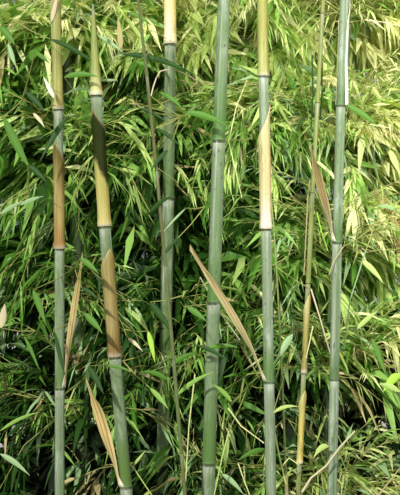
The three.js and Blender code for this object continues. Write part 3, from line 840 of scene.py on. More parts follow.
def branch_curve(root, branch, count):
    """Points along a branch: a curve through its root, middle and end."""
    first = compass(branch["heading"]) * math.cos(math.radians(branch["rise"]))
    first[2] = math.sin(math.radians(branch["rise"]))
    second = unit(first - UP * BRANCH["droop"])
    middle = root + first * branch["length"] * BRANCH["middle"]
    end = middle + second * branch["length"] * (1.0 - BRANCH["middle"])
    control = 2.0 * middle - 0.5 * (root + end)
    t = np.linspace(0.0, 1.0, count)[:, None]
    return (1 - t) ** 2 * root + 2 * t * (1 - t) * control + t ** 2 * end


class Soup:
    """Vertices and triangles gathered from many small parts."""

    def __init__(self):
        self.verts, self.faces, self.count = [], [], 0

    def add(self, verts, faces):
        """verts is parts by vertices by 3, and faces are the same in each part."""
        parts, size = verts.shape[:2]
        self.verts.append(verts.reshape(-1, 3))
        starts = self.count + size * np.arange(parts)
        self.faces.append((faces[None] + starts[:, None, None]).reshape(-1, faces.shape[1]))
        self.count += parts * size

    def arrays(self):
        return np.concatenate(self.verts), np.concatenate(self.faces)


def tubes(points, radii, sides):
    """Tapering tubes: points is tubes by rings by 3, and radii is tubes by rings."""
    rings = points.shape[1]
    along = unit(np.gradient(points, axis=1))
    side = unit(np.cross(along, OFF_UP))
    top = np.cross(side, along)
    _, cosine, sine = circle(sides)
    ring = side[:, :, None] * cosine[:, None] + top[:, :, None] * sine[:, None]
    verts = points[:, :, None] + ring * radii[:, :, None, None]
    quads = grid_faces(rings, sides, closed=True)
    faces = np.concatenate([quads[:, [0, 1, 2]], quads[:, [0, 2, 3]]])
    return verts.reshape(len(points), rings * sides, 3), faces


BLADE_FOLD = 0.35


def blades(roots, directions, lengths, widths, droops, rolls, stations):
    """Leaves as folded blades that droop to their tips. Each station is a share of the length and
    of the full width there."""
    side = unit(np.cross(directions, UP))
    face = np.cross(side, directions)
    across, turned = np.cos(rolls)[:, None], np.sin(rolls)[:, None]
    side, face = side * across + face * turned, face * across - side * turned

    def midrib(t):
        sag = UP * (droops * lengths * t * t)[:, None]
        return roots + directions * (lengths * t)[:, None] - sag

    halves = [(t, (widths * share / 2.0)[:, None]) for t, share in stations]
    return blade_points(midrib, side, face, BLADE_FOLD, halves), blade_faces(len(stations))


def blade_points(midrib, side, face, fold, halves):
    """The vertices of a folded blade: its root, then left, middle and right at each station, where
    half its width is given, then its tip."""
    columns = [midrib(0.0)]
    for t, half in halves:
        middle, raised = midrib(t), face * half * fold
        columns += [middle + side * half + raised, middle, middle - side * half + raised]
    return np.stack([*columns, midrib(1.0)], -2)


def blade_faces(stations):
    """The triangles of a blade: its root, then three vertices at each station, then its tip."""
    faces = [(0, 1, 2), (0, 2, 3)]
    for k in range(1, 3 * stations - 2, 3):
        faces += [(k, k + 3, k + 4), (k, k + 4, k + 1), (k + 1, k + 4, k + 5), (k + 1, k + 5, k + 2)]
    k = 3 * stations - 2
    faces += [(k, k + 3, k + 1), (k + 1, k + 3, k + 2)]
    return np.array(faces)


def culm_at(culm, heights):
    """Where a culm's middle is at heights, as two coordinates, and its radius there."""
    joints = np.array([(*joint["place"], joint["radius"]) for joint in culm["joints"]])
    return [np.interp(heights, joints[:, 2], joints[:, k]) for k in (0, 1, 3)]


def clear_of_culms(points, margin, skip=None):
    """Which points lie outside every culm by a margin, but for one that may be skipped."""
    free = np.ones(len(points), bool)
    for culm in CULMS:
        if culm is not skip:
            x, y, radius = culm_at(culm, points[:, 2])
            near = np.hypot(points[:, 0] - x, points[:, 1] - y) < radius + margin
            free &= ~(near & (points[:, 2] < culm["joints"][-1]["place"][2]))
    return free


# Foliage keeps over the compost. In the camera's view, with margins as shares of it, none comes
# further forward than FRONT_CLEAR. Over a height, none hides culm C within distances to its left
# and right, and none shades its sheath between two heights, to both sides of it.
LOWEST = SOIL_LEVEL + 15.0
IN_VIEW = {"aside": 0.56, "below": -0.56, "above": 0.66}
FRONT_CLEAR = 8.0
C_CLEAR = {"from": 1020.0, "left": -12.0, "right": 11.0, "sunny": (1375.0, 1590.0), "beside": 15.0}


def inside_space(points):
    """Which points stay within the solids' reach, and out of the clear space before the culms."""
    x, y, z = points.T
    low, high = np.array(cad_low) / MM, np.array(cad_high) / MM
    free = ((points > low) & (points < high)).all(axis=1)
    free &= (np.hypot(x, y) < CROWN_RADIUS) & (z > LOWEST)
    distance = y - CAMERA["place"][1]
    scale = distance / -CAMERA["place"][1]
    above = (z - CAMERA["place"][2]) / (FRAME_HEIGHT * scale)
    in_view = np.abs(x) < IN_VIEW["aside"] * FRAME_WIDTH * scale
    in_view &= (above > IN_VIEW["below"]) & (above < IN_VIEW["above"])
    culm_x, culm_y, _ = culm_at(BY_NAME["c"], z)
    aside = x - culm_x * distance / (culm_y - CAMERA["place"][1])
    before = (y < culm_y) & (z > C_CLEAR["from"])
    before &= (aside > C_CLEAR["left"]) & (aside < C_CLEAR["right"])
    run = (culm_y - y) / KEY_WAY[1]
    lands_x, lands_z = x + run * KEY_WAY[0], z + run * KEY_WAY[2]
    shading = (run > 0.0) & (lands_z > C_CLEAR["sunny"][0]) & (lands_z < C_CLEAR["sunny"][1])
    shading &= np.abs(lands_x - culm_at(BY_NAME["c"], lands_z)[0]) < C_CLEAR["beside"]
    return free & ~shading & ~(in_view & ((y < FRONT_CLEAR) | before))


def free_space(points, margin):
    """Which points foliage may fill."""
    return clear_of_culms(points, margin) & inside_space(points)


# Twigs. Their pitch along a branch is closer in the lower tier, and thin culms have shorter ones.
TWIG = {
    "pitch": (11.5, 15.0), "first": 0.12, "nearest": 0.02, "jitter": 0.3, "radius": 0.7,
    "taper": (1.0, 0.8, 0.5), "aside": (18.0, 70.0), "lift": (-0.35, 0.45), "long": (38.0, 105.0),
    "thin": 0.75, "sag": (0.1, 0.4),
}

# A branch of the solids ends in a spray as long as the solids' leaf there: its share of the
# branch's length within a range, and its twig's share of it.
END_SPRAY = {"share": 0.6, "range": (130.0, 210.0), "twig": 0.78}

# Leaves. They start at a share of their twig, and a share of them have a tint of their own.
LEAF = {
    "first": 0.25, "aside": (22.0, 58.0), "stray": 12.0, "lift": (-0.8, 0.45), "droop": (0.05, 0.5),
    "roll": 45.0, "kept": 0.94, "own_tint": 0.25,
}

# Twigs carry either broad or fine leaves: how many leaves a twig has, the range of their lengths,
# of width as a share of length, how much smaller they are at the upper right, and the stations of
# a blade. The last two kinds are the old leaves of the clump's inside, the finer of them where
# right and high come to more than FINE_FROM.
KIND_COLUMNS = "leaves long wide smaller stations".split()
KIND_ROWS = (
    (7, (28, 60), (0.1, 0.15), 0.3, ((0.15, 0.7), (0.55, 0.85))),
    (14, (14, 34), (0.09, 0.15), 0.25, ((0.36, 1.0),)),
    (12, (39, 68), (0.15, 0.22), 0.0, ((0.4, 1.0),)),
    (19, (27, 54), (0.15, 0.22), 0.0, ((0.4, 1.0),)),
)
LEAF_KINDS = [dict(zip(KIND_COLUMNS, row)) for row in KIND_ROWS]
BROAD, FINE, INNER, INNER_FINE = range(4)
BROAD_SHARE, FINE_FROM = (0.38, 0.02), 0.35

# Deep inside the clump, between these distances behind the middle of the pot, most twigs carry the last
# two kinds, which hide what lies behind. Their tints are darker there, as painted shade.
INSIDE = {"from": 78.0, "to": 230.0, "width": 340.0, "share": (0.97, 0.92), "dark": 0.3}
# How far from the middle places count as right or high, and where the latter fades again.
CORNER = {"right": 260.0, "high": 320.0, "fades": (340.0, 560.0), "faded": 0.8}

# Tints of leaves: colour in 0 to 255, roughness, and the share of light that passes through. The first
# five go from dark to light, and sprays take them by painted light and shade. Of the rest, the pale one
# stands for pale undersides and painted glints, and the near black one for painted deep shade.
LEAF_TINTS = {
    "shade": ((42, 78, 22), 0.5, 0.25),
    "deep": ((90, 138, 48), 0.45, 0.3),
    "mid": ((145, 188, 90), 0.42, 0.32),
    "fresh": ((198, 222, 130), 0.42, 0.36),
    "lime": ((238, 240, 174), 0.42, 0.36),
    "pale_glint": ((150, 182, 128), 0.4, 0.2),
    "straw": ((190, 176, 122), 0.6, 0.2),
    "dry": ((208, 194, 158), 0.6, 0.1),
    "white": ((240, 236, 220), 0.5, 0.1),
    "vivid": ((184, 232, 86), 0.42, 0.36),
    # Near black, as painted deep shade.
    "gloom": ((14, 27, 10), 0.5, 0.1),
}
TINT_STEPS = (0.16, 0.36, 0.58, 0.8)
PALE_GLINT, STRAW, GLOOM = (list(LEAF_TINTS).index(name) for name in ("pale_glint", "straw", "gloom"))

# How light a spray's tint is, by where it is and by chance. This is painted light and shade.
PAINTED_LIGHT = {
    "least": 0.38, "out": 0.1, "right": 0.18, "high": 0.22, "edge": 0.16, "corner": 0.2, "left": 0.09,
    "low": 0.13, "chance": 0.22, "low_chance": 0.2,
}
# Odd sprays, as shares: pale ones, for pale undersides and painted glints, and more of them low down,
# near black ones low inside, for painted deep shade, and straw ones, which are the rest over a share
# inside, and over another outside that falls at the corner.
ODD = {"pale_glint": 0.06, "pale_glint_low": 0.04, "gloom_from": 0.4, "gloom": 0.52, "straw": (0.99, 0.972, 0.02)}


def grow_branches(wood, random):
    """Adds every branch to the soup of wood. Returns where its twigs start, where they head and
    how long they are, the same for the sprays at branch ends, and points along all branches."""
    starts, headings, lengths, along, ends = [], [], [], [], []
    for culm, j, tier, branch in all_branches():
        joint = culm["joints"][j]
        out = compass(branch["heading"])
        root = joint["place"] + joint["onward"] * BRANCH["over"] + out * joint["radius"] * BRANCH["sunk"]
        curve = branch_curve(root, branch, BRANCH["points"])
        blocked = ~(clear_of_culms(curve, 1.0, culm) & inside_space(curve))
        if blocked.any():
            keep = int(np.argmax(blocked))
            if keep < BRANCH["fewest"]:
                continue
            curve = curve[:keep]
        elif branch.get("leaves"):
            long = np.clip(branch["length"] * END_SPRAY["share"], *END_SPRAY["range"])
            ends.append((curve[-1], unit(curve[-1] - curve[len(curve) // 2]), long * END_SPRAY["twig"]))
        along.append(curve[1:])
        size = float(np.linalg.norm(np.diff(curve, axis=0), axis=1).sum())
        thick = BRANCH["radius"] * (0.5 + 0.5 * size / BRANCH["full_length"])
        thick *= BRANCH["thin"] if culm["thin"] else 1.0
        wood.add(*tubes(curve[None], np.linspace(thick, BRANCH["tip"], len(curve))[None], 4))
        step = TWIG["pitch"][tier if culm["old"] else 1] / size
        t = np.arange(TWIG["first"], 1.0, step)
        shifts = random.uniform(-TWIG["jitter"], TWIG["jitter"], len(t))
        t = np.clip(t + shifts * step, TWIG["nearest"], 1.0)
        spots = t * (len(curve) - 1)
        low = np.minimum(spots.astype(int), len(curve) - 2)
        chord = curve[low + 1] - curve[low]
        hand = np.where(np.arange(len(t)) % 2, 1.0, -1.0)
        aside = hand * random.uniform(*TWIG["aside"], len(t))
        starts.append(curve[low] + chord * (spots - low)[:, None])
        headings.append(turned_aside(unit(chord), aside, random.uniform(*TWIG["lift"], len(t))))
        lengths.append(random.uniform(*TWIG["long"], len(t)) * (TWIG["thin"] if culm["thin"] else 1.0))
    twigs = [np.concatenate(each) for each in (starts, headings, lengths)]
    return twigs, [np.array(each) for each in zip(*ends)], np.concatenate(along)


def turned_aside(directions, degrees, lift):
    """Directions turned about the upright by an angle, and lifted."""
    c, s = np.cos(np.radians(degrees)), np.sin(np.radians(degrees))
    x, y, z = directions.T
    return unit(np.stack([x * c - y * s, x * s + y * c, z + lift], -1))


def dress_twigs(starts, headings, lengths, twigs, leaves, random):
    """Adds the twigs and their leaves to the soup of twigs and to the soup of each tint."""
    middle = starts + headings * (lengths * 0.5)[:, None]
    sag = UP * (lengths * random.uniform(*TWIG["sag"], len(starts)))[:, None]
    ends = starts + headings * lengths[:, None] - sag
    free = free_space(middle, 2.0) & free_space(ends, 3.0)
    starts, middle, ends = starts[free], middle[free], ends[free]
    radii = np.tile(np.array(TWIG["taper"]) * TWIG["radius"], (len(starts), 1))
    twigs.add(*tubes(np.stack([starts, middle, ends], 1), radii, 3))
    tint = choose_tints(middle, random)
    east, high = corner_of(middle)
    broad = lerp(*BROAD_SHARE, clamped(east + high))
    kind = np.where(throw(random, broad, len(starts)), BROAD, FINE)
    share = lerp(*INSIDE["share"], smoothstep(east + high, 0.3, 1.0))
    inside = is_inside(middle) & throw(random, share, len(starts))
    kind = np.where(inside, np.where(east + high > FINE_FROM, INNER_FINE, INNER), kind)
    for k, form in enumerate(LEAF_KINDS):
        mine = kind == k
        dress_kind(form, starts[mine], middle[mine], ends[mine], tint[mine], leaves, random)


def dress_kind(form, starts, middle, ends, tint, leaves, random):
    """The leaves of one kind, set alternately along their twigs with one at each tip."""
    count, last = len(starts), form["leaves"]
    small = 1.0 - form["smaller"] * clamped(sum(corner_of(starts)))
    for k in range(last + 1):
        t = LEAF["first"] + (1.0 - LEAF["first"]) * k / last
        lower = t < 0.5
        chord = middle - starts if lower else ends - middle
        place = (starts if lower else middle) + chord * (t / 0.5 if lower else (t - 0.5) / 0.5)
        hand = 0.0 if k == last else (1.0 if k % 2 else -1.0)
        turn = hand * random.uniform(*LEAF["aside"], count)
        turn = turn + random.uniform(-LEAF["stray"], LEAF["stray"], count)
        aim = turned_aside(unit(chord), turn, random.uniform(*LEAF["lift"], count))
        long = random.uniform(*form["long"], count) * small
        wide = long * random.uniform(*form["wide"], count)
        droop = random.uniform(*LEAF["droop"], count)
        roll = np.radians(random.normal(0.0, LEAF["roll"], count))
        tips = place + (aim - UP * droop[:, None]) * long[:, None]
        halfway = place + aim * (long * 0.5)[:, None]
        keep = free_space(tips, 2.0) & free_space(halfway, 4.0) & throw(random, LEAF["kept"], count)
        own = throw(random, LEAF["own_tint"], count)
        own = np.where(own, choose_tints(place, random), tint)
        for n, soup in enumerate(leaves.values()):
            mine = keep & (own == n)
            if mine.any():
                shape = (place[mine], aim[mine], long[mine], wide[mine], droop[mine], roll[mine])
                soup.add(*blades(*shape, form["stations"]))


# Single leaves and twigs that the photograph shows before the culms. Places are in pixels of the
# photograph, which is 400 by 495, at a depth in millimetres behind the middle of the pot.
PHOTO = {"middle": (200.0, 247.5), "pixel": 1.25}
# Leaves: where one starts and ends, how wide it is in pixels, how far it bows upwards in pixels,
# its depth and its tint.
FRONT_LEAVES = (
    ((51, 22), (58, -10), 6, -1, -45, "dry"), ((160, 92), (184, 110), 6, 2, 0, "deep"),
    ((156, 128), (182, 148), 6, 2, 0, "shade"), ((186, 208), (160, 236), 3, 1, 0, "pale_glint"),
    ((178, 238), (158, 262), 6, 1, 0, "shade"), ((150, 212), (172, 196), 6, 2, -130, "shade"),
    ((140, 108), (166, 122), 6, 2, -130, "shade"), ((168, 150), (150, 172), 6, 2, -130, "shade"),
    ((50, 39), (98, 66), 7, 3, -70, "shade"), ((98, 35), (124, 53), 6, 1, -40, "pale_glint"),
    ((64, 77), (99, 77), 8, 3, -100, "deep"), ((100, 80), (118, 80), 4, 0, -60, "pale_glint"),
    ((121, 54), (200, 78), 9, 6, -20, "shade"), ((67, 116), (39, 163), 8, 2, -70, "shade"),
    ((54, 98), (43, 76), 6, 0, -60, "white"), ((33, 113), (45, 128), 5, 1, -50, "dry"),
    ((3, 116), (31, 170), 12, -3, -20, "deep"), ((0, 26), (15, 45), 11, 1, -10, "deep"),
    ((8, 43), (16, 66), 7, -2, -20, "pale_glint"), ((186, 112), (229, 127), 9, 3, -95, "deep"),
    ((347, 105), (379, 127), 8, 2, -60, "deep"), ((272, 226), (299, 250), 6, 5, -40, "mid"),
    ((54, 330), (66, 379), 6, -2, -60, "shade"), ((150, 302), (173, 334), 10, 1, 0, "shade"),
    ((148, 331), (155, 363), 7, 1, -60, "vivid"), ((201, 352), (240, 348), 7, 4, -90, "deep"),
    ((196, 345), (230, 362), 6, 2, -90, "shade"), ((128, 338), (143, 352), 5, 1, -40, "dry"),
    ((293, 334), (275, 363), 9, 1, -60, "pale_glint"), ((273, 413), (299, 407), 5, 3, -120, "fresh"),
    ((329, 446), (313, 459), 8, 4, -70, "fresh"), ((0, 454), (30, 476), 8, 2, 0, "pale_glint"),
    ((0, 431), (41, 412), 5, 3, 0, "mid"), ((133, 466), (146, 450), 4, 0, -60, "fresh"),
    ((222, 474), (244, 495), 7, 2, -60, "pale_glint"), ((265, 449), (237, 461), 7, 2, -60, "deep"),
    ((107, 366), (132, 373), 5, 2, -110, "deep"), ((150, 388), (169, 410), 7, 1, -20, "mid"),
    ((357, 329), (378, 311), 7, 1, -10, "fresh"), ((372, 338), (386, 376), 8, 1, -10, "deep"),
    ((400, 374), (383, 392), 12, 2, -10, "vivid"), ((400, 392), (378, 384), 8, 2, -15, "fresh"),
    ((121, 49), (118, 16), 8, 0, -10, "straw"), ((1, 328), (5, 303), 10, 1, -10, "dry"),
    ((20, 205), (44, 196), 6, 1, -10, "pale_glint"), ((0, 214), (24, 201), 6, 1, -10, "pale_glint"),
    ((170, 366), (197, 352), 7, 2, -30, "deep"), ((168, 380), (140, 372), 7, 3, -30, "deep"),
    ((176, 396), (214, 372), 6, 3, -90, "mid"), ((152, 350), (130, 356), 6, 2, -30, "shade"),
    ((362, 260), (384, 284), 8, 2, -10, "fresh"), ((390, 150), (400, 175), 9, 1, -10, "fresh"),
    ((128, 12), (152, 26), 6, 2, -118, "deep"), ((150, 34), (134, 52), 6, 1, -118, "mid"),
    ((136, 62), (158, 72), 5, 2, -118, "deep"), ((130, 2), (146, -6), 6, 1, -118, "shade"),
    ((232, 402), (212, 384), 6, 2, -80, "mid"), ((24, 336), (40, 372), 5, 1, -20, "deep"),
    ((80, 258), (99, 274), 8, 1, -124, "deep"), ((82, 288), (99, 300), 6, 1, -124, "shade"),
    ((84, 313), (103, 334), 9, 1, -124, "deep"), ((88, 366), (104, 395), 9, 1, -124, "shade"),
    ((33, 290), (46, 326), 9, 1, -124, "deep"), ((28, 165), (47, 183), 8, 1, -124, "shade"),
    ((35, 52), (50, 64), 6, 1, -112, "deep"), ((187, 307), (207, 322), 8, 1, -159, "deep"),
    ((26, 92), (45, 112), 9, 1, -124, "shade"),
)
# Twigs: points along one, its thickness in pixels, its depth and its skin.
FRONT_TWIGS = (
    (((229, 140), (236, 108), (247, 80)), 1.0, -50, "lime"),
    (((228, 139), (233, 160), (242, 198)), 1.0, -50, "lime"),
    (((151, 96), (155, 80), (161, 70), (173, 69), (186, 74), (198, 81)), 1.3, -15, "dry"),
    (((200, 277), (221, 314), (240, 340)), 1.0, -40, "dry"),
    (((311, 289), (320, 318), (331, 356)), 1.7, -30, "dry"),
    (((366, 250), (350, 300), (344, 350)), 1.6, -10, "pale_glint"),
    (((302, 492), (311, 478), (326, 466), (340, 447), (355, 431)), 2.2, -70, "dry"),
    (((317, 212), (321, 230), (328, 251)), 1.3, -30, "vivid"),
    (((291, 50), (303, 85), (311, 128)), 1.4, -5, "deep"),
    (((312, 55), (313, 95), (311, 128)), 1.6, -5, "shade"),
    (((322, 62), (322, 92), (320, 120)), 1.6, -5, "shade"),
    (((308, 195), (306, 235), (304, 275)), 1.5, -10, "straw"),
    (((195, 374), (189, 425), (185, 492)), 1.4, -30, "lime"),
    (((119, 455), (133, 467), (153, 497)), 1.4, -60, "fresh"),
    (((265, 388), (273, 425), (280, 460), (286, 484)), 2.0, -60, "fresh"),
    (((283, 465), (289, 458), (299, 465)), 1.2, -60, "lime"),
    (((228, 408), (241, 426), (264, 443)), 1.5, -60, "lime"),
    (((229, 431), (222, 458), (214, 496)), 1.6, -90, "fresh"),
    (((238, 463), (244, 480), (250, 496)), 1.3, -50, "lime"),
    (((365, 20), (382, 22), (400, 26)), 1.1, -5, "dry"),
    (((378, 496), (389, 482), (400, 468)), 1.5, -20, "straw"),
    (((313, 326), (309, 345), (306, 358)), 1.2, -35, "lime"),
    (((343, 247), (333, 262), (329, 275)), 1.2, -60, "straw"),
)
# A blade's stations: shares of its length, and of its full width there.
BLADE = ((0.04, 0.28), (0.16, 0.68), (0.34, 0.85), (0.55, 0.74), (0.75, 0.45), (0.9, 0.18))
# How much nearer a leaf's tip is, half its real width as a share of the given one, how far it is
# folded, and a twig's rings, with its radius at both ends as shares of its thickness.
FRONT = {"nearer": 8.0, "half": 0.42, "fold": 0.6, "rings": 9, "root": 0.55, "tip": 0.4}
STALK = {"tries": 200, "margin": 0.6, "sag": 2.0, "radii": (0.9, 0.7, 0.5)}


def at_pixel(x, y, depth):
    """The place at a depth that a pixel of the photograph shows."""
    scale = PHOTO["pixel"] * (depth - CAMERA["place"][1]) / -CAMERA["place"][1]
    right, down = (x - PHOTO["middle"][0]) * scale, (y - PHOTO["middle"][1]) * scale
    return np.array([right, depth, CAMERA["place"][2] - down])


def build_front(along, twigs, leaves):
    """The single leaves and twigs, each with a stalk from the nearest branch that is in reach. A
    leaf's bow is fullest halfway along, where t * (1 - t) is a quarter."""
    for start, end, width, bow, depth, tint in FRONT_LEAVES:
        base, tip = at_pixel(*start, depth), at_pixel(*end, depth - FRONT["nearer"])
        side = unit(np.cross(unit(tip - base), NORTH))
        upward = UP * bow * PHOTO["pixel"] * 4.0

        def midrib(t):
            return lerp(base, tip, t) + upward * t * (1.0 - t)

        halves = [(t, FRONT["half"] * width * PHOTO["pixel"] * share) for t, share in BLADE]
        points = blade_points(midrib, side, NORTH, FRONT["fold"], halves)
        leaves[tint].add(points[None], blade_faces(len(BLADE)))
        add_stalk(base, along, twigs)
    for points, thick, depth, tint in FRONT_TWIGS:
        path = np.array([at_pixel(x, y, depth) for x, y in points])
        spots = np.linspace(0.0, len(path) - 1.0, FRONT["rings"])
        fine = np.stack([np.interp(spots, range(len(path)), path[:, k]) for k in range(3)], 1)
        radii = np.linspace(FRONT["root"], FRONT["tip"], len(fine)) * thick * PHOTO["pixel"]
        leaves[tint].add(*tubes(fine[None], radii[None], 5))
        add_stalk(path[0], along, twigs)


def add_stalk(end, along, twigs):
    """A thin stalk to a place from the nearest branch with a clear way to it."""
    order = np.argsort(np.linalg.norm(along - end, axis=1))[:STALK["tries"]]
    for start in along[order]:
        way = start + (end - start) * np.linspace(0.15, 0.9, 8)[:, None]
        if clear_of_culms(way, STALK["margin"]).all():
            path = np.stack([start, lerp(start, end, 0.5) - UP * STALK["sag"], end])
            twigs.add(*tubes(path[None], np.array([STALK["radii"]]), 4))
            return


def corner_of(places):
    """How far to the right and how high places are, each from -1 to 1."""
    east = np.clip(places[:, 0] / CORNER["right"], -1.0, 1.0)
    rise = places[:, 2] - CAMERA["place"][2]
    fading = 1.0 - CORNER["faded"] * smoothstep(np.abs(rise), *CORNER["fades"])
    return east, np.clip(rise / CORNER["high"], -1.0, 1.0) * fading


def is_inside(places):
    """Which places lie deep inside the clump."""
    x, y = places[:, 0], places[:, 1]
    return (y > INSIDE["from"]) & (y < INSIDE["to"]) & (np.abs(x) < INSIDE["width"])


def choose_tints(places, random):
    """The tint of each spray, by painted light and shade: darker inside and low on the left, brighter
    outside and right.
    """
    out = np.hypot(places[:, 0], places[:, 1]) / CROWN_RADIUS
    east, high = corner_of(places)
    inside, corner = is_inside(places), clamped(east + high)
    low = smoothstep(-high, 0.1, 0.8)
    edge = smoothstep(places[:, 0], 100.0, 230.0) + smoothstep(high, 0.5, 1.0)
    # Painted light and shade: how lit a spray looks, by its place.
    light = PAINTED_LIGHT["least"] + PAINTED_LIGHT["out"] * out + PAINTED_LIGHT["right"] * east + PAINTED_LIGHT["high"] * high
    light = light + PAINTED_LIGHT["edge"] * edge - PAINTED_LIGHT["corner"] * east * high
    light = light + PAINTED_LIGHT["left"] * smoothstep(-east, 0.2, 0.8) * smoothstep(high, -0.8, -0.3)
    chance = random.normal(0.0, PAINTED_LIGHT["chance"], len(places))
    light = light + chance * (1.0 + PAINTED_LIGHT["low_chance"] * low)
    light = light + PAINTED_LIGHT["low"] * low * ~inside * np.clip(0.4 + east, 0.0, 1.2)
    # Painted shade deep inside the clump.
    light = light - INSIDE["dark"] * inside * (1.0 - corner)
    tint = np.searchsorted(TINT_STEPS, light)
    roll = random.uniform(0.0, 1.0, len(places))
    # Pale sprays: pale undersides and painted glints.
    tint = np.where(roll < ODD["pale_glint"] + ODD["pale_glint_low"] * low, PALE_GLINT, tint)
    # Near black sprays low inside, as painted deep shade.
    gloom_to = ODD["gloom_from"] + ODD["gloom"] * low * inside
    tint = np.where((roll > ODD["gloom_from"]) & (roll < gloom_to), GLOOM, tint)
    straw_inside, straw_outside, straw_corner = ODD["straw"]
    rare = np.where(inside, straw_inside, straw_outside - straw_corner * corner)
    return np.where(roll > rare, STRAW, tint)


# Colours in 0 to 255 of the branches and twigs, and their roughness.
WOOD = {"branch": (122, 134, 62), "twig": (160, 162, 88), "rough": 0.55}
MOST_FACES = 195000


def build_foliage():
    """Branches, twigs and leaves as pieces with no more than MOST_FACES triangles each."""
    random = np.random.default_rng(SEED + 1)
    wood, twigs = Soup(), Soup()
    leaves = {name: Soup() for name in LEAF_TINTS}
    sides, ends, along = grow_branches(wood, random)
    dress_twigs(*sides, twigs, leaves, random)
    dress_twigs(*ends, twigs, leaves, np.random.default_rng(SEED + 2))
    build_front(along, twigs, leaves)
    soups = [
        (name, soup, plain_material(f"{skin}_skin", linear(*WOOD[skin]), WOOD["rough"]))
        for name, soup, skin in (("branches", wood, "branch"), ("twigs", twigs, "twig"))
    ]
    for name, (colour, rough, glow) in LEAF_TINTS.items():
        material = leaf_material(f"leaf_{name}", linear(*colour), rough, glow)
        soups.append((f"leaves_{name}", leaves[name], material))
    for name, soup, material in soups:
        verts, faces = soup.arrays()
        for k in range(0, len(faces), MOST_FACES):
            part = faces[k:k + MOST_FACES]
            split_piece(f"{name}_{k // MOST_FACES + 1}", verts, part, material)
    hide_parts(*[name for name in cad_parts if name.startswith("foliage")])


def split_piece(name, verts, faces, material):
    """A piece of some of the faces, with only the vertices that they use."""
    used, renumbered = np.unique(faces, return_inverse=True)
    return make_piece(name, verts[used], renumbered.reshape(faces.shape), material)


# Pot and compost

POT = {"height": 420.0, "foot": 185.0, "top": 238.0, "wall": 17.0, "rim": 62.0, "rim_out": 13.0}
# Rounded corners of the pot, each as steps outward and upward from the sharp corner.
POT_CORNERS = {
    "foot": ((-6.0, 0.0), (-3.0, 0.6), (-1.0, 2.4)),
    "ledge": ((0.4, -2.0), (2.5, 0.3)),
    "rim": ((-8.0, 2.6), (-4.2, 5.4), (-2.6, 9.0)),
    "lip": ((-0.4, -5.0), (-1.8, -2.0), (-4.5, -0.4), (-8.0, 0.0)),
    "mouth": ((4.0, 0.0), (1.2, -1.4), (0.0, -5.0)),
}
POT_SIDES = 128
# Fine turning lines.
POT_LINES = {"depth": 0.35, "height": 5.0}
# How far under the compost's level the pot's inside and the compost's sides reach.
POT_INSIDE, COMPOST_SIDES = 30.0, 28.0

# The compost. It is heaped round a culm with a reach in radii, and flatter at the pot. Its crumbs
# have a height, a size and a slice of noise each.
COMPOST = {"rings": 60, "sides": 144, "gap": 0.4, "under": 2.0, "flatter": 0.6, "heap": 5.0, "reach": 3.2}
CRUMBS = ((5.0, 42.0, 1.0), (2.6, 11.0, 5.0))


def pot_radius(height):
    return lerp(POT["foot"], POT["top"], height / POT["height"])


def pot_corner(name, radius, height):
    return [(radius + out, height + up) for out, up in POT_CORNERS[name]]


def build_pot(material):
    """The pot's outside, rim and lip, and its inside down to under the compost."""
    top, rim, foot = POT["height"], POT["height"] - POT["rim"], POT["foot"]
    edge, mouth = POT["top"] + POT["rim_out"], POT["top"] - POT["wall"]
    deepest = SOIL_LEVEL - POT_INSIDE
    profile = [(0.0, 0.0), (foot * 0.5, 0.0), *pot_corner("foot", foot, 0.0), (pot_radius(5), 5.0)]
    profile += [(pot_radius(z), z) for z in np.linspace(12, rim - 8, 44)]
    profile += pot_corner("ledge", pot_radius(rim), rim) + pot_corner("rim", edge, rim)
    profile += [(lerp(edge - 2.4, edge, u), lerp(rim + 13.0, top - 9.0, u)) for u in np.linspace(0, 1, 8)]
    profile += pot_corner("lip", edge, top) + pot_corner("mouth", mouth, top)
    profile.append((pot_radius(deepest) - POT["wall"], deepest))
    radii, heights = np.array(profile).T
    _, cosine, sine = circle(POT_SIDES)
    lines = [noise.noise(Vector((0.0, 0.0, z / POT_LINES["height"]))) for z in heights]
    outside = (heights > 6) & (radii > foot)
    r = (radii + POT_LINES["depth"] * np.array(lines) * outside)[:, None]
    z = heights[:, None] * np.ones(POT_SIDES)
    verts = np.stack([r * cosine, r * sine, z], -1)
    piece = make_piece("pot_clay", verts, grid_faces(len(profile), POT_SIDES, True), material)
    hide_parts("pot")


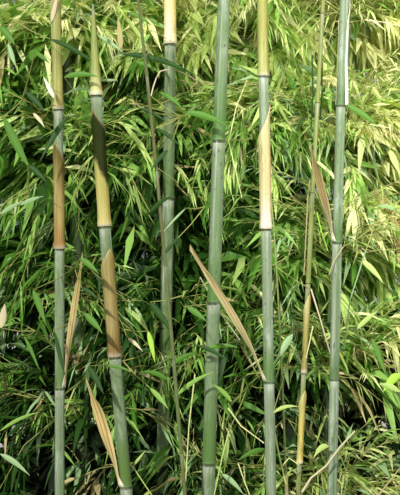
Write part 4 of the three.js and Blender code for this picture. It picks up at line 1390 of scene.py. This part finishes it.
def build_compost(material):
    """The compost's surface, heaped a little round the culms' feet, with its sides in the pot."""
    rings, sides = COMPOST["rings"], COMPOST["sides"]
    outer = pot_radius(SOIL_LEVEL) - POT["wall"] - COMPOST["gap"]
    share = np.linspace(0.0, 1.0, rings)[:, None]
    x, y = (outer * share * part for part in circle(sides)[1:])

    def crumbs(a, b):
        return sum(high * noise.noise(Vector((a / wide, b / wide, part))) for high, wide, part in CRUMBS)

    z = np.array([[crumbs(a, b) for a, b in zip(*row)] for row in zip(x, y)])
    for culm in CULMS:
        away = np.hypot(x - culm["foot"][0], y - culm["foot"][1]) / culm["radius"]
        z = z + COMPOST["heap"] * np.exp(-((away / COMPOST["reach"]) ** 2))
    z = SOIL_LEVEL - COMPOST["under"] + z * (1.0 - COMPOST["flatter"] * share ** 6)
    surface = np.stack([x, y, z], -1)
    skirt = np.stack([x[-1], y[-1], np.full(sides, SOIL_LEVEL - COMPOST_SIDES)], -1)[None]
    verts = np.concatenate([surface, skirt])
    piece = make_piece("compost_surface", verts, grid_faces(rings + 1, sides, True), material)
    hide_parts("compost")


# Studio


def add_object(name, data):
    obj = bpy.data.objects.new(name, data)
    bpy.context.scene.collection.objects.link(obj)
    return obj


def build_studio():
    """The camera, the floor, the sky and the lamps."""
    scene = bpy.context.scene
    data = bpy.data.cameras.new("camera")
    data.lens = CAMERA["lens"]
    scene.camera = add_object("camera", data)
    scene.camera.location = Vector(CAMERA["place"]) * MM
    scene.camera.rotation_euler = (math.radians(90.0), 0.0, 0.0)

    mesh, half = bpy.data.meshes.new("floor"), FLOOR["half"]
    corners = [(x * half, y * half, 0) for x, y in ((-1, -1), (1, -1), (1, 1), (-1, 1))]
    mesh.from_pydata(corners, [], [(0, 1, 2, 3)])
    mesh.materials.append(plain_material("floor", FLOOR["colour"], FLOOR["rough"]))
    add_object("floor", mesh)

    world = bpy.data.worlds.new("studio")
    world.use_nodes = True
    for name, value in SKY.items():
        world.node_tree.nodes["Background"].inputs[name].default_value = value
    scene.world = world

    for name, energy, angle, colour, towards in SUNS:
        lamp = bpy.data.lights.new(name, "SUN")
        lamp.energy, lamp.angle, lamp.color = energy, math.radians(angle), colour
        add_object(name, lamp).rotation_euler = Vector(towards).to_track_quat("-Z", "Y").to_euler()
    lamp = bpy.data.lights.new("soft", "AREA")
    lamp.energy, lamp.size = SOFT_LAMP["energy"], SOFT_LAMP["size"]
    lamp.spread = math.radians(SOFT_LAMP["spread"])
    soft = add_object("soft", lamp)
    soft.location = SOFT_LAMP["place"]
    towards = Vector(SOFT_LAMP["aim"]) - soft.location
    soft.rotation_euler = towards.to_track_quat("-Z", "Y").to_euler()
    soft.visible_camera = False
    scene.view_settings.view_transform = "Standard"


build_studio()
skin = culm_material()
for each in CULMS:
    build_culm(each, skin)
paper = sheath_material()
for row in SHEATHS:
    build_sheath(row, paper)
build_pot(terracotta_material())
build_compost(compost_material())
build_foliage()
